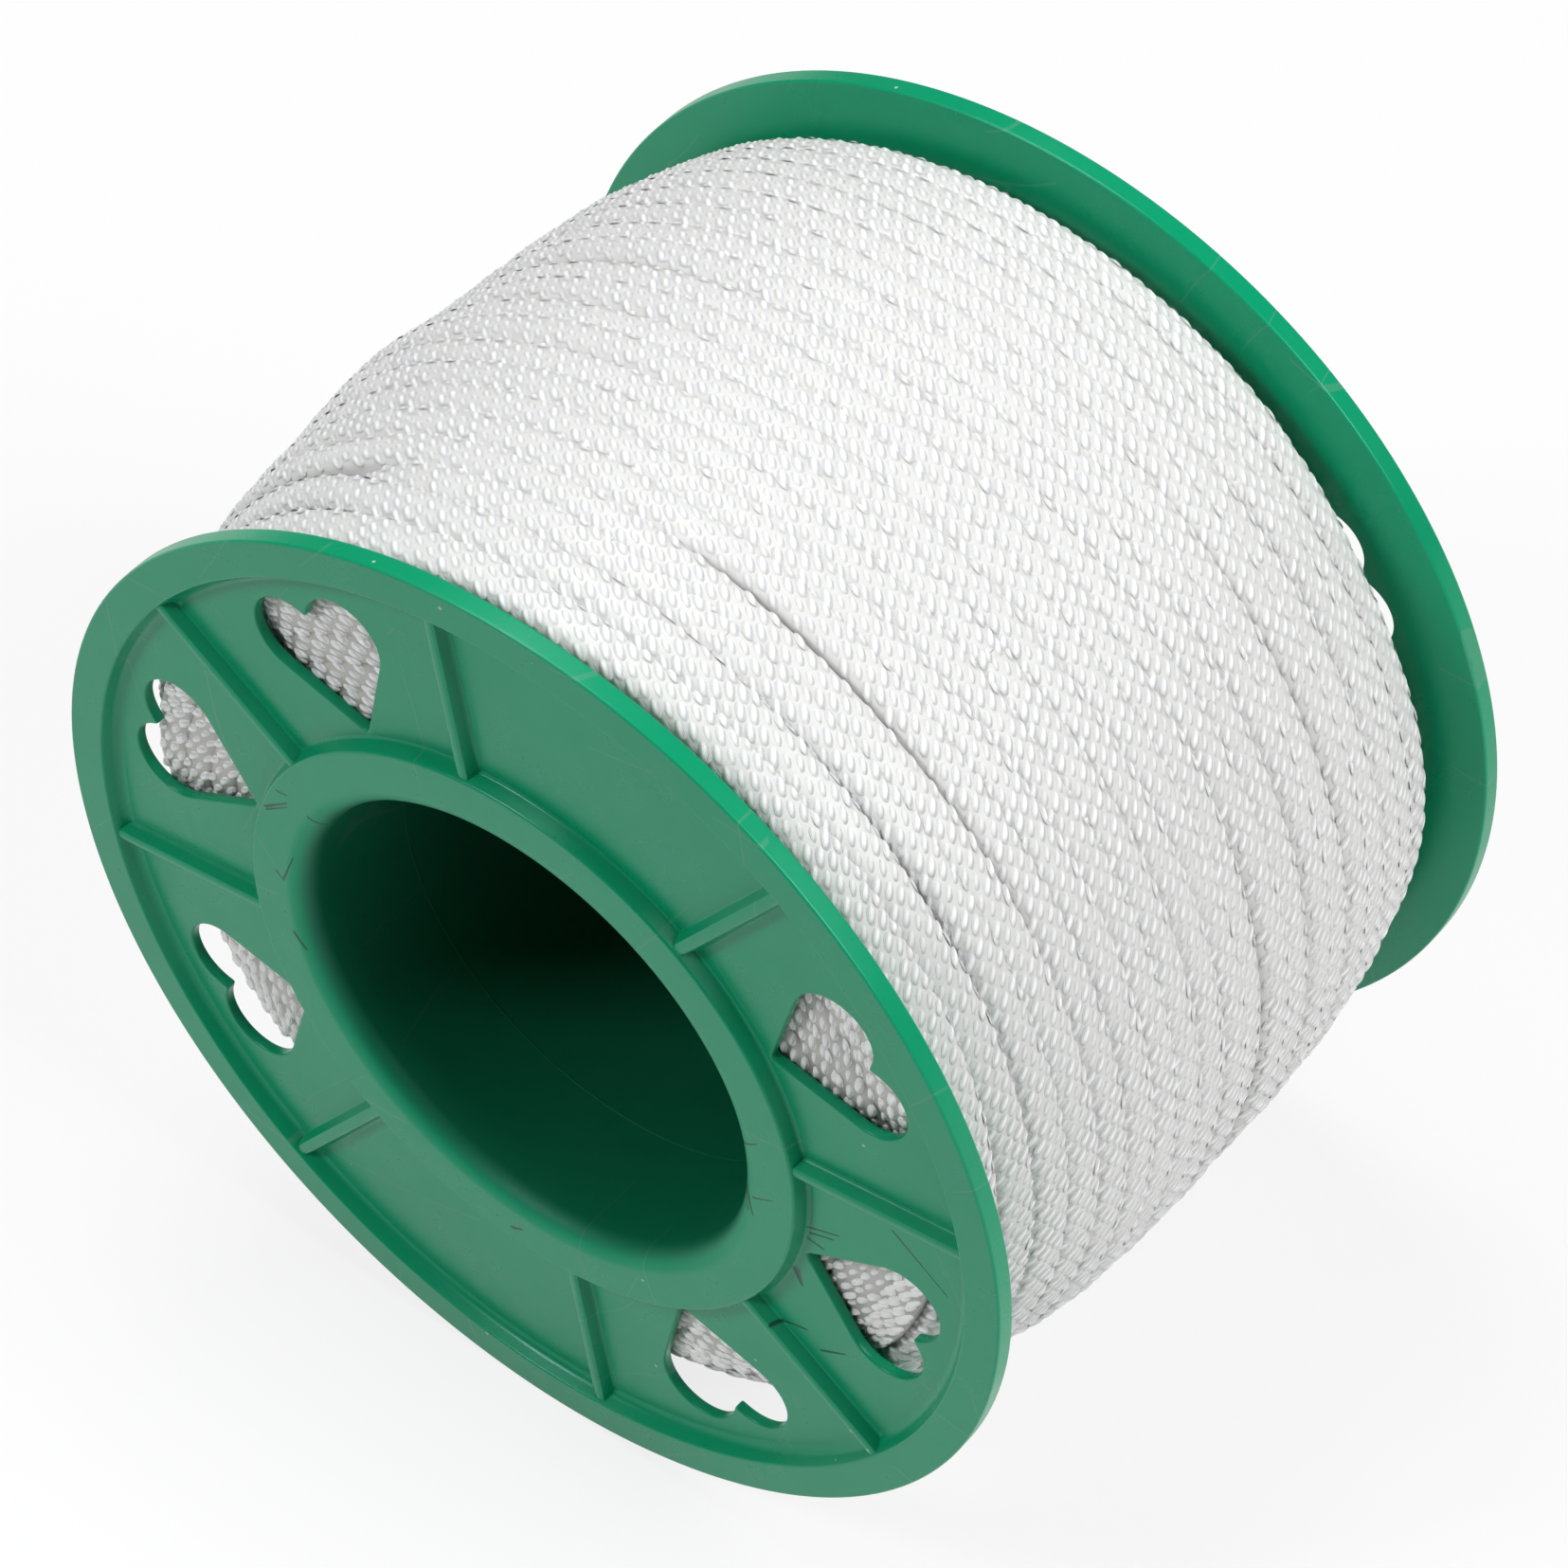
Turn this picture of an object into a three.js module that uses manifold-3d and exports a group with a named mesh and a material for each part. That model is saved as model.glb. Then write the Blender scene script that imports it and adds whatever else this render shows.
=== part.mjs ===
// A spool of braided fishing line. Millimetres, +Z up. The spool lies on its two rims: its axis is
// the Y axis, the near flange faces -Y, and the origin is the middle of the bore.
// Two alike moulded flanges plug their collars into the ends of one barrel tube. The line fills the
// space between the flanges: plain inner layers, and over them the outer layer as one wound tube.
import * as THREE from "three";
import { mergeVertices } from "three/addons/utils/BufferGeometryUtils.js";
import Module from "manifold-3d";

// ---- Driving sizes, mm and degrees ---------------------------------------------------------------
const flangeRadius = 52;
const overallWidth = 74;
const rimThickness = 1.9; // at the very edge of the flange
const rimWidth = 3.7; // of the raised rim ring, at the outer face
const edgeRounding = 0.25;
const recessDepth = 1.5; // from the rim's face down to the web
const webThickness = 1.1;
const wallDraft = 0.7; // how far the recess's outer wall leans in
const taperStartRadius = 44.5; // where the inner face starts to fall away to the thinner edge
const taperShares = [0.25, 0.5, 0.75]; // where the taper's curve has its points
const hubRadius = 30.4;
const hubDraft = 0.5;
const boreRadius = 24.3;
const boreLip = 2.2; // radius of the soft edge at the bore's mouth
const collarWall = 1.5;
const collarReach = 13.4; // from the flange's face to the seam seen in the bore
const collarChamfer = 0.4;
const barrelWall = 1.9; // outside the socket
const seatGap = 0.3; // between pieces that touch

const ribCount = 8;
const ribPitch = 360 / ribCount;
const firstRibAngle = 9; // from +X towards +Z
const ribHeight = 1.25;
const ribBaseWidth = 1.8;
const ribTopWidth = 0.8;
const ribTopRounding = 0.1;
const ribShoulderDrop = 0.3; // share of the rib's height where its side bends
const ribEndOverlap = 0.9; // how far each end runs into the wall that it meets

const heartTipRadius = 31.4; // from the spool's axis
const heartLobeCentre = 41.1;
const heartLobeOffset = 3.5; // half the distance between the two lobes' centres
const heartLobeRadius = 4.05;
const plainSectors = [1, 5]; // sectors between ribs that have no heart
const cutterOverrun = 1; // how far a heart's cutter stands out at each face

const lineDiameter = 2.95;
const turnGap = 0.32; // between one turn of the outer layer and the next
const lineStartAngle = -95; // where the outer layer starts, from +X towards +Z
const woundMiddleRadius = 51.5; // outside of the line, half way between the flanges
const woundNearRadius = 46.5; // outside of the line, against the near flange
const woundFarRadius = 48.2; // the same, against the far flange
const crownPower = 4.5; // how flat the middle of the winding is
const woundEndGap = 0.5; // between the line and a flange
const tuckDepth = 6.4; // how far each end of the outer layer dives into the layers below
const tuckClearance = 0.35;
const tuckSteps = 4;
const tuckLead = 3; // steps of the first and last turn that lie in the pocket

const latheSteps = 72;
const coreSteps = 48;
const loopSteps = 24;
const lineSides = 6;
const crownSteps = 7; // each way from the middle of the winding
const crownSpread = 0.6; // under 1 sets the crown's steps closer towards the flanges
const lipSteps = 5;
const heartSteps = 7;
const weldDistance = 1e-4;

// ---- Colours -------------------------------------------------------------------------------------
const greenPlastic = { color: 0x12905f, roughness: 0.42, metalness: 0 };
const whiteNylon = { color: 0xececea, roughness: 0.7, metalness: 0 };

const wasm = await Module();
wasm.setup();

// A closed geometry as a solid, for joining and cutting.
function solidOf(geometry) {
  const plain = geometry.index ? geometry.toNonIndexed() : geometry.clone();
  const bare = new THREE.BufferGeometry();
  bare.setAttribute("position", plain.getAttribute("position"));
  const merged = mergeVertices(bare, weldDistance);
  return new wasm.Manifold(
    new wasm.Mesh({
      numProp: 3,
      vertProperties: new Float32Array(merged.attributes.position.array),
      triVerts: new Uint32Array(merged.index.array),
    }),
  );
}

// The solid's surface as a geometry.
function geometryOf(solid) {
  const mesh = solid.getMesh();
  const geometry = new THREE.BufferGeometry();
  geometry.setAttribute("position", new THREE.BufferAttribute(new Float32Array(mesh.vertProperties), 3));
  geometry.setIndex(new THREE.BufferAttribute(new Uint32Array(mesh.triVerts), 1));
  return geometry;
}

// A closed profile of [radius, y] points turned about the Y axis, with its faces outwards.
function turned(profile, steps) {
  let area = 0;
  profile.forEach(([r0, y0], i) => {
    const [r1, y1] = profile[(i + 1) % profile.length];
    area += r0 * y1 - r1 * y0;
  });
  const ring = area > 0 ? profile : [...profile].reverse();
  const points = [...ring, ring[0]].map(([r, y]) => new THREE.Vector2(r, y));
  return new THREE.LatheGeometry(points, steps);
}

// Points of a quarter round from angle a0 to a1, degrees, as [radius, y].
function arc(centreR, centreY, radius, a0, a1, count) {
  return Array.from({ length: count + 1 }, (_, i) => {
    const a = THREE.MathUtils.degToRad(a0 + ((a1 - a0) * i) / count);
    return [centreR + radius * Math.cos(a), centreY + radius * Math.sin(a)];
  });
}

// ---- Flange --------------------------------------------------------------------------------------
const webBack = recessDepth + webThickness; // the inner face, from the outer face
const rimInnerRadius = flangeRadius - rimWidth;
const collarRadius = boreRadius + collarWall;

// The flange's section. y runs from the outer face, 0, towards the middle of the spool.
function flangeProfile() {
  const e = edgeRounding;
  const fall = webBack - rimThickness;
  const taperRun = flangeRadius - e - taperStartRadius;
  const taper = taperShares.map((s) => [taperStartRadius + s * taperRun, webBack - fall * s * s]);
  return [
    [rimInnerRadius, 0],
    [flangeRadius - e, 0],
    [flangeRadius, e],
    [flangeRadius, rimThickness - e],
    [flangeRadius - e, rimThickness],
    ...taper.reverse(),
    [taperStartRadius, webBack],
    [collarRadius, webBack],
    [collarRadius, collarReach - collarChamfer],
    [collarRadius - collarChamfer, collarReach],
    [boreRadius, collarReach],
    ...arc(boreRadius + boreLip, boreLip, boreLip, 180, 270, lipSteps),
    [hubRadius, 0],
    [hubRadius + hubDraft, recessDepth],
    [rimInnerRadius - wallDraft, recessDepth],
  ];
}

// One rib along +X, from inside the hub's wall to inside the rim's.
function ribSolid() {
  const foot = -(recessDepth + webThickness / 2);
  const top = -(recessDepth - ribHeight);
  const web = -recessDepth;
  const bend = top - ribHeight * ribShoulderDrop;
  const shoulder = (ribBaseWidth + ribTopWidth) / 4;
  const crest = ribTopWidth / 2 - ribTopRounding;
  const section = new THREE.Shape([
    new THREE.Vector2(foot, -ribBaseWidth / 2),
    new THREE.Vector2(web, -ribBaseWidth / 2),
    new THREE.Vector2(bend, -shoulder),
    new THREE.Vector2(top, -crest),
    new THREE.Vector2(top, crest),
    new THREE.Vector2(bend, shoulder),
    new THREE.Vector2(web, ribBaseWidth / 2),
    new THREE.Vector2(foot, ribBaseWidth / 2),
  ]);
  const start = hubRadius - ribEndOverlap;
  const length = rimInnerRadius + ribEndOverlap - start;
  const bar = new THREE.ExtrudeGeometry(section, { depth: length, bevelEnabled: false });
  // The section's x is height along -Y, its y is width along Z, and it runs out along +X.
  const place = new THREE.Matrix4().makeBasis(
    new THREE.Vector3(0, -1, 0),
    new THREE.Vector3(0, 0, -1),
    new THREE.Vector3(1, 0, 0),
  );
  bar.applyMatrix4(place);
  bar.translate(start, 0, 0);
  return solidOf(bar);
}

// A heart on the local x axis: its tip towards the hub, its two lobes towards the rim.
function heartShape() {
  const reach = Math.hypot(heartLobeCentre - heartTipRadius, heartLobeOffset);
  const toCentre = Math.atan2(heartLobeOffset, heartLobeCentre - heartTipRadius);
  const side = toCentre + Math.asin(heartLobeRadius / reach); // the straight side's angle at the tip
  const touch = side + Math.PI / 2; // where the side meets the lobe, seen from its centre
  const cleft = Math.asin(heartLobeOffset / heartLobeRadius); // where the lobes meet
  const shape = new THREE.Shape();
  shape.moveTo(heartTipRadius, 0);
  shape.lineTo(
    heartLobeCentre + heartLobeRadius * Math.cos(touch),
    -heartLobeOffset - heartLobeRadius * Math.sin(touch),
  );
  shape.absarc(heartLobeCentre, -heartLobeOffset, heartLobeRadius, -touch, cleft, false);
  shape.absarc(heartLobeCentre, heartLobeOffset, heartLobeRadius, -cleft, touch, false);
  shape.closePath();
  return shape;
}

// The cutter that makes one heart, through the whole flange.
function heartCutter() {
  const cutter = new THREE.ExtrudeGeometry(heartShape(), {
    depth: webBack + 2 * cutterOverrun,
    bevelEnabled: false,
    curveSegments: heartSteps,
  });
  // The outline's y becomes Z, and it runs through along -Y.
  cutter.rotateX(Math.PI / 2);
  cutter.translate(0, webBack + cutterOverrun, 0);
  return cutter;
}

// Turns a geometry about the Y axis by an angle from +X towards +Z.
function turnedTo(geometry, angle) {
  return geometry.clone().rotateY(-THREE.MathUtils.degToRad(angle));
}

// The whole flange in its own place: outer face at y = 0, collar towards +Y.
function flangeSolid() {
  const rib = geometryOf(ribSolid());
  const heart = heartCutter();
  let solid = solidOf(turned(flangeProfile(), latheSteps));
  for (let i = 0; i < ribCount; i++) {
    const ribAngle = firstRibAngle + i * ribPitch;
    solid = solid.add(solidOf(turnedTo(rib, ribAngle)));
    if (!plainSectors.includes(i)) {
      solid = solid.subtract(solidOf(turnedTo(heart, ribAngle + ribPitch / 2)));
    }
  }
  return solid;
}

// ---- Barrel --------------------------------------------------------------------------------------
const barrelHalf = overallWidth / 2 - webBack - seatGap;
const socketRadius = collarRadius + seatGap;
const socketFloor = overallWidth / 2 - collarReach - seatGap;
const barrelRadius = socketRadius + barrelWall;

// A tube with a socket in each end that a flange's collar plugs into.
function barrelProfile() {
  return [
    [boreRadius, -socketFloor],
    [boreRadius, socketFloor],
    [socketRadius, socketFloor],
    [socketRadius, barrelHalf],
    [barrelRadius, barrelHalf],
    [barrelRadius, -barrelHalf],
    [socketRadius, -barrelHalf],
    [socketRadius, -socketFloor],
  ];
}

// ---- Line ----------------------------------------------------------------------------------------
const lineRadius = lineDiameter / 2;
const woundHalf = overallWidth / 2 - webBack - woundEndGap; // from the middle to the winding's side
const turnReach = woundHalf - lineRadius; // from the middle to the last turn's own middle
const turnPitch = lineDiameter + turnGap;
const lineTurns = (2 * turnReach) / turnPitch;

// Outside radius of the winding at y: nearly flat in the middle and rounded off to the flanges.
function woundRadius(y) {
  const share = Math.min(1, Math.abs(y) / woundHalf);
  const endRadius = y < 0 ? woundNearRadius : woundFarRadius;
  return woundMiddleRadius - (woundMiddleRadius - endRadius) * share ** crownPower;
}

// The outer layer's middle line at a number of turns from its start, with its ends tucked inwards.
function linePoint(turn) {
  const y = -turnReach + turn * turnPitch;
  const angle = THREE.MathUtils.degToRad(lineStartAngle) + 2 * Math.PI * turn;
  const r = woundRadius(y) - lineRadius;
  return new THREE.Vector3(r * Math.cos(angle), y, r * Math.sin(angle));
}

// From an end of the helix the line bends inwards and runs straight to its bottom.
function tuckPoints(end, before) {
  const along = end.clone().sub(before).normalize();
  const inward = new THREE.Vector3(-end.x, 0, -end.z).normalize();
  const bend = tuckDepth - lineDiameter; // the bend's radius
  const points = Array.from({ length: tuckSteps }, (_, i) => {
    const a = ((i + 1) / tuckSteps) * (Math.PI / 2);
    return end
      .clone()
      .addScaledVector(along, bend * Math.sin(a))
      .addScaledVector(inward, bend * (1 - Math.cos(a)));
  });
  points.push(points[tuckSteps - 1].clone().addScaledVector(inward, lineDiameter));
  return points;
}

// The whole route: tucked end, turns, tucked end.
function lineRoute() {
  const count = Math.round(lineTurns * loopSteps);
  const turns = Array.from({ length: count + 1 }, (_, i) => linePoint((lineTurns * i) / count));
  const head = tuckPoints(turns[0], turns[1]).reverse();
  const tail = tuckPoints(turns[count], turns[count - 1]);
  return { head, turns, tail, all: [...head, ...turns, ...tail] };
}

// A closed tube of flat-sided section along points, its ends square to the route.
function tubeAlong(points, radius, sides) {
  const position = [];
  const index = [];
  let across = new THREE.Vector3(0, 1, 0);
  points.forEach((p, i) => {
    const before = points[Math.max(0, i - 1)];
    const after = points[Math.min(points.length - 1, i + 1)];
    const along = after.clone().sub(before).normalize();
    across = across.clone().addScaledVector(along, -across.dot(along)).normalize();
    const beside = along.clone().cross(across);
    for (let s = 0; s < sides; s++) {
      const a = (2 * Math.PI * s) / sides;
      const v = p
        .clone()
        .addScaledVector(across, radius * Math.cos(a))
        .addScaledVector(beside, radius * Math.sin(a));
      position.push(v.x, v.y, v.z);
    }
  });
  const last = (points.length - 1) * sides;
  for (let i = 0; i + 1 < points.length; i++) {
    for (let s = 0; s < sides; s++) {
      const a = i * sides + s;
      const b = i * sides + ((s + 1) % sides);
      index.push(a, b, b + sides, a, b + sides, a + sides);
    }
  }
  for (let s = 1; s + 1 < sides; s++) {
    index.push(0, s + 1, s);
    index.push(last, last + s, last + s + 1);
  }
  const geometry = new THREE.BufferGeometry();
  geometry.setAttribute("position", new THREE.Float32BufferAttribute(position, 3));
  geometry.setIndex(index);
  return geometry;
}

// The least gap of the wound line to itself, measured between points of its middle line.
function leastGap(route) {
  let least = Infinity;
  const skip = loopSteps / 2;
  for (let i = 0; i < route.length; i++) {
    for (let j = i + skip; j < route.length; j++) {
      least = Math.min(least, route[i].distanceTo(route[j]));
    }
  }
  return least - lineDiameter;
}

// The layers below: one body of revolution with a pocket at each end that takes the tucked line.
function innerLayersSolid(route) {
  // The tube's straight steps dip below the round that its points lie on.
  const dip = Math.cos(Math.PI / loopSteps);
  const under = (y) => (woundRadius(y) - lineRadius) * dip - lineRadius - seatGap;
  const inner = barrelRadius + seatGap;
  const crown = Array.from({ length: 2 * crownSteps + 1 }, (_, i) => {
    const share = (i - crownSteps) / crownSteps;
    const y = woundHalf * Math.sign(share) * Math.abs(share) ** crownSpread;
    return [under(y), y];
  });
  let solid = solidOf(turned([[inner, woundHalf], [inner, -woundHalf], ...crown], coreSteps));
  for (const path of [
    [...route.head, ...route.turns.slice(0, tuckLead)],
    [...route.turns.slice(-tuckLead), ...route.tail],
  ]) {
    const [first, second] = [path[0], path[1]];
    const [last, nextLast] = [path[path.length - 1], path[path.length - 2]];
    const longer = [
      first.clone().addScaledVector(first.clone().sub(second).normalize(), seatGap),
      ...path,
      last.clone().addScaledVector(last.clone().sub(nextLast).normalize(), seatGap),
    ];
    solid = solid.subtract(solidOf(tubeAlong(longer, lineRadius + tuckClearance, lineSides)));
  }
  return solid;
}

// ---- The object ----------------------------------------------------------------------------------
function namedMesh(name, geometry, look) {
  geometry.computeVertexNormals();
  const mesh = new THREE.Mesh(geometry, new THREE.MeshStandardMaterial(look));
  mesh.name = name;
  return mesh;
}

const spool = new THREE.Group();
const flange = flangeSolid();
const plainAngle = firstRibAngle + (plainSectors[0] + 0.5) * ribPitch;

const nearFlange = namedMesh("near_flange", geometryOf(flange), greenPlastic);
nearFlange.position.y = -overallWidth / 2;
spool.add(nearFlange);

// The far flange is the same moulding turned end for end, with its hearts in line with the near ones.
const farFlange = namedMesh("far_flange", geometryOf(flange), greenPlastic);
farFlange.position.y = overallWidth / 2;
farFlange.rotation.order = "YZX";
farFlange.rotation.z = Math.PI;
farFlange.rotation.y = THREE.MathUtils.degToRad(180 - 2 * plainAngle);
spool.add(farFlange);

spool.add(namedMesh("barrel", turned(barrelProfile(), latheSteps), greenPlastic));

const route = lineRoute();
const layers = innerLayersSolid(route);
spool.add(namedMesh("line_inner_layers", geometryOf(layers), whiteNylon));
spool.add(namedMesh("line_outer_layer", tubeAlong(route.all, lineRadius, lineSides), whiteNylon));
console.log("least gap of the wound line to itself: " + leastGap(route.turns).toFixed(2) + " mm");

export default spool;
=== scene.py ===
"""A green moulded spool wound full with white braided line, lying on its two rims.

Lengths are metres. The spool's axis is Y, its near flange faces -Y and the origin is the middle of
the bore. Angles about the axis run from +X towards +Z, in degrees. The line is real geometry: every
stitch of the braid that shows is a small raised float, set along the wound route by Geometry Nodes.
"""

import logging
import math
from dataclasses import dataclass, field
from enum import Enum
from functools import reduce
from typing import Any, Iterable, Sequence

import bpy
import numpy as np
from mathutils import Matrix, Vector


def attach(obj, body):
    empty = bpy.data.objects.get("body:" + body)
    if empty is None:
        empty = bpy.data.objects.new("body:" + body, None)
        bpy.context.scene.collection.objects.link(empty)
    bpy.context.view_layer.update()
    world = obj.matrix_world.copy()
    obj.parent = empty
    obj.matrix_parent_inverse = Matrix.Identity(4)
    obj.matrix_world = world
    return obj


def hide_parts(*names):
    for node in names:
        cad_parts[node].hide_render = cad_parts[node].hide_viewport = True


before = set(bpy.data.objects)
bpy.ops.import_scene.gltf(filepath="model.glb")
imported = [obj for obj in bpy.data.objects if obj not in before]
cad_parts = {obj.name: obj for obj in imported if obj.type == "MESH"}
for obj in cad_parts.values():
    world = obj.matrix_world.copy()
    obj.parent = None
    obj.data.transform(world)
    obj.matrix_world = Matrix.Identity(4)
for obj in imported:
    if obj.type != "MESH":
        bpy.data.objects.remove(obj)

log = logging.getLogger("spool")

Array = np.ndarray
Colour = tuple[float, float, float, float]
Finish = bpy.types.Material
Piece = bpy.types.Object
Place = tuple[float, float, float]
Point = tuple[float, float]
Route = tuple[np.ndarray, np.ndarray]
Socket = bpy.types.NodeSocket
Tree = bpy.types.NodeTree


class End(Enum):
    """The two ends of the spool, by the sign of their Y."""

    NEAR = -1
    FAR = 1


# ---- Node and mesh helpers -----------------------------------------------------------------------


class Graph:
    """A node tree with short calls for adding nodes and joining their sockets."""

    def __init__(self, tree: Tree) -> None:
        """Wraps an existing tree."""
        self.tree = tree

    @classmethod
    def group(cls, name: str, kind: str, out: str, inputs: dict[str, Any]) -> tuple["Graph", Any]:
        """A new node group.

        Args:
            name: what it is called.
            kind: Shader or Geometry.
            out: its one output: Geometry, or the name of a number.
            inputs: its inputs by name, each with its default or its socket type.

        Returns:
            The group's graph, and the sockets of its inputs.
        """
        g = cls(bpy.data.node_groups.new(name, kind + "NodeTree"))
        for label, value in inputs.items():
            typed = isinstance(value, str)
            end = value if typed else "Int" if isinstance(value, int) else "Float"
            made = g.tree.interface.new_socket(label, in_out="INPUT", socket_type="NodeSocket" + end)
            if not typed:
                made.default_value = value
        end = "Geometry" if kind == "Geometry" else "Float"
        g.tree.interface.new_socket(out, in_out="OUTPUT", socket_type="NodeSocket" + end)
        return g, g.node("NodeGroupInput").outputs

    def ended(self, value: Socket) -> Tree:
        """Joins the group's output and gives its tree."""
        self.set(self.node("NodeGroupOutput").inputs[0], value)
        return self.tree

    def dressed(self, geometry: Socket, material: Socket) -> Tree:
        """Ends a geometry group: its copies are made real and get their material."""
        plain = self.out("GeometryNodeRealizeInstances", {0: geometry})
        return self.ended(self.out("GeometryNodeSetMaterial", {0: plain, "Material": material}))

    def set(self, socket: Socket, value: Any) -> None:
        """Joins a socket to another, or gives it a plain value."""
        if isinstance(value, bpy.types.NodeSocket):
            self.tree.links.new(value, socket)
        else:
            socket.default_value = value

    def fill(self, node: bpy.types.Node, values: dict[Any, Any]) -> None:
        """Gives a node's inputs what they take, by name or number: a socket or a plain value."""
        for key, value in values.items():
            self.set(node.inputs[key], value)

    def node(self, kind: str, values: dict[Any, Any] | None = None, **options: Any) -> bpy.types.Node:
        """Adds a node.

        Args:
            kind: the node's type.
            values: what its inputs take.
            **options: the node's own settings.

        Returns:
            The node.
        """
        made = self.tree.nodes.new(kind)
        for name, option in options.items():
            setattr(made, name, option)
        self.fill(made, values or {})
        return made

    def out(self, kind: str, values: dict[Any, Any] | None = None, **options: Any) -> Socket:
        """Adds a node and gives its first output."""
        return self.node(kind, values, **options).outputs[0]

    def use(self, tree: Tree, **values: Any) -> Socket:
        """Puts in a shader group with its inputs and gives its output."""
        return self.out("ShaderNodeGroup", values, node_tree=tree)

    @staticmethod
    def live(sockets: Iterable[Socket], word: str) -> list[Socket]:
        """The sockets in use that have a name or a type."""
        return [s for s in sockets if s.enabled and word in (s.name, s.type)]

    def math(self, operation: str, *values: Any) -> Socket:
        """A number from one, two or three others."""
        return self.out("ShaderNodeMath", dict(enumerate(values)), operation=operation)

    def plus(self, first: Any, second: Any) -> Socket:
        """The sum of two numbers."""
        return self.math("ADD", first, second)

    def minus(self, first: Any, second: Any) -> Socket:
        """The first number less the second."""
        return self.math("SUBTRACT", first, second)

    def times(self, first: Any, second: Any) -> Socket:
        """The product of two numbers."""
        return self.math("MULTIPLY", first, second)

    def size(self, value: Socket) -> Socket:
        """A number without its sign."""
        return self.math("ABSOLUTE", value)

    def strongest(self, masks: Iterable[Socket]) -> Socket:
        """The greatest of several numbers."""
        return reduce(lambda first, second: self.math("MAXIMUM", first, second), masks)

    def vector(self, operation: str, *values: Any) -> Socket:
        """A vector from one or two others; SCALE takes its number second."""
        made = self.node("ShaderNodeVectorMath", operation=operation)
        slots = [made.inputs[0], made.inputs["Scale"]] if operation == "SCALE" else made.inputs
        for slot, value in zip(slots, values):
            self.set(slot, value)
        return made.outputs["Value" if operation in ("DOT_PRODUCT", "LENGTH") else "Vector"]

    def scaled(self, vector: Socket, share: Any) -> Socket:
        """A vector times a number."""
        return self.vector("SCALE", vector, share)

    def parts(self, vector: Socket) -> Any:
        """A vector's three numbers."""
        return self.node("ShaderNodeSeparateXYZ", {0: vector}).outputs

    def mix(self, share: Any, first: Any, second: Any) -> Socket:
        """A colour between two others."""
        return self.node("ShaderNodeMix", {0: share, 6: first, 7: second}, data_type="RGBA").outputs[2]

    def spread(self, value: Socket, low: float, high: float) -> Socket:
        """A value's range from low to high as 0 to 1, smoothly and without going past them."""
        ends = {0: value, 1: low, 2: high}
        return self.out("ShaderNodeMapRange", ends, interpolation_type="SMOOTHSTEP")

    def bump(self, height: Socket, distance: float, strength: float) -> Socket:
        """The surface's direction with a small relief in it."""
        return self.out("ShaderNodeBump", {"Height": height, "Distance": distance, "Strength": strength})


def linked(name: str, data: Any) -> Piece:
    """A new object in the scene, from its mesh, lamp or camera data."""
    made = bpy.data.objects.new(name, data)
    bpy.context.scene.collection.objects.link(made)
    return made


def mesh_object(name: str, points: Any, faces: Any, edges: Any = ()) -> Piece:
    """A mesh object at the origin from points and faces, or edges."""
    mesh = bpy.data.meshes.new(name)
    mesh.from_pydata(np.asarray(points, float).tolist(), [tuple(e) for e in edges], faces)
    mesh.update()
    return linked(name, mesh)


def grown(source: Piece, tree: Tree, values: dict[str, Any], name: str) -> Piece:
    """Runs a Geometry Nodes tree on an object once and keeps the result as a plain mesh.

    Args:
        source: the object that carries the tree; it is removed afterwards.
        tree: the tree, with named inputs.
        values: what the inputs take, by name.
        name: the name of the piece.

    Returns:
        The piece, at the origin, with no modifier.
    """
    modifier = source.modifiers.new("made", "NODES")
    modifier.node_group = tree
    for item in tree.interface.items_tree:
        if item.item_type == "SOCKET" and item.in_out == "INPUT" and item.name in values:
            modifier[item.identifier] = values[item.name]
    source.update_tag()
    bpy.context.view_layer.update()
    graph = bpy.context.evaluated_depsgraph_get()
    mesh = bpy.data.meshes.new_from_object(
        source.evaluated_get(graph), preserve_all_data_layers=True, depsgraph=graph
    )
    source.modifiers.remove(modifier)
    bpy.data.objects.remove(source)
    mesh.name = name
    return linked(name, mesh)


def smoothed(piece: Piece, sharp: float) -> Piece:
    """Shades a piece smoothly, but for edges past an angle in degrees."""
    piece.data.shade_smooth()
    piece.data.set_sharp_from_angle(angle=math.radians(sharp))
    return piece


def finished(piece: Piece, *nodes: str, slot: str) -> None:
    """Makes a piece ride on the spool, in place of CAD nodes, and reports it.

    Args:
        piece: the finished mesh object.
        *nodes: the CAD nodes that it stands for.
        slot: not used; the record's material slot for the piece.
    """
    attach(piece, "root")
    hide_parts(*nodes)
    triangles = sum(len(p.vertices) - 2 for p in piece.data.polygons)
    log.info("%s: %d triangles, in place of %s", piece.name, triangles, ", ".join(nodes))


def softened(corners: Sequence[Place], steps: int) -> list[Point]:
    """A closed outline with its corners rounded.

    Args:
        corners: each corner as x, y and the radius of its rounding.
        steps: pieces in each rounding.

    Returns:
        The outline's points.
    """
    made: list[Point] = []
    for i, (x, y, radius) in enumerate(corners):
        if radius <= 0:
            made.append((x, y))
            continue
        here = np.array([x, y])
        back = np.array(corners[i - 1][:2]) - here
        ahead = np.array(corners[(i + 1) % len(corners)][:2]) - here
        a, b = back / np.linalg.norm(back), ahead / np.linalg.norm(ahead)
        half = math.acos(float(np.clip(a @ b, -1, 1))) / 2
        reach = radius / math.tan(half)
        middle = here + (a + b) / np.linalg.norm(a + b) * radius / math.sin(half)
        start, stop = here + a * reach - middle, here + b * reach - middle
        turn = math.copysign(math.pi - 2 * half, start[0] * stop[1] - start[1] * stop[0])
        for k in range(steps + 1):
            c, s = math.cos(turn * k / steps), math.sin(turn * k / steps)
            made.append((middle[0] + c * start[0] - s * start[1],
                         middle[1] + s * start[0] + c * start[1]))
    return made


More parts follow.
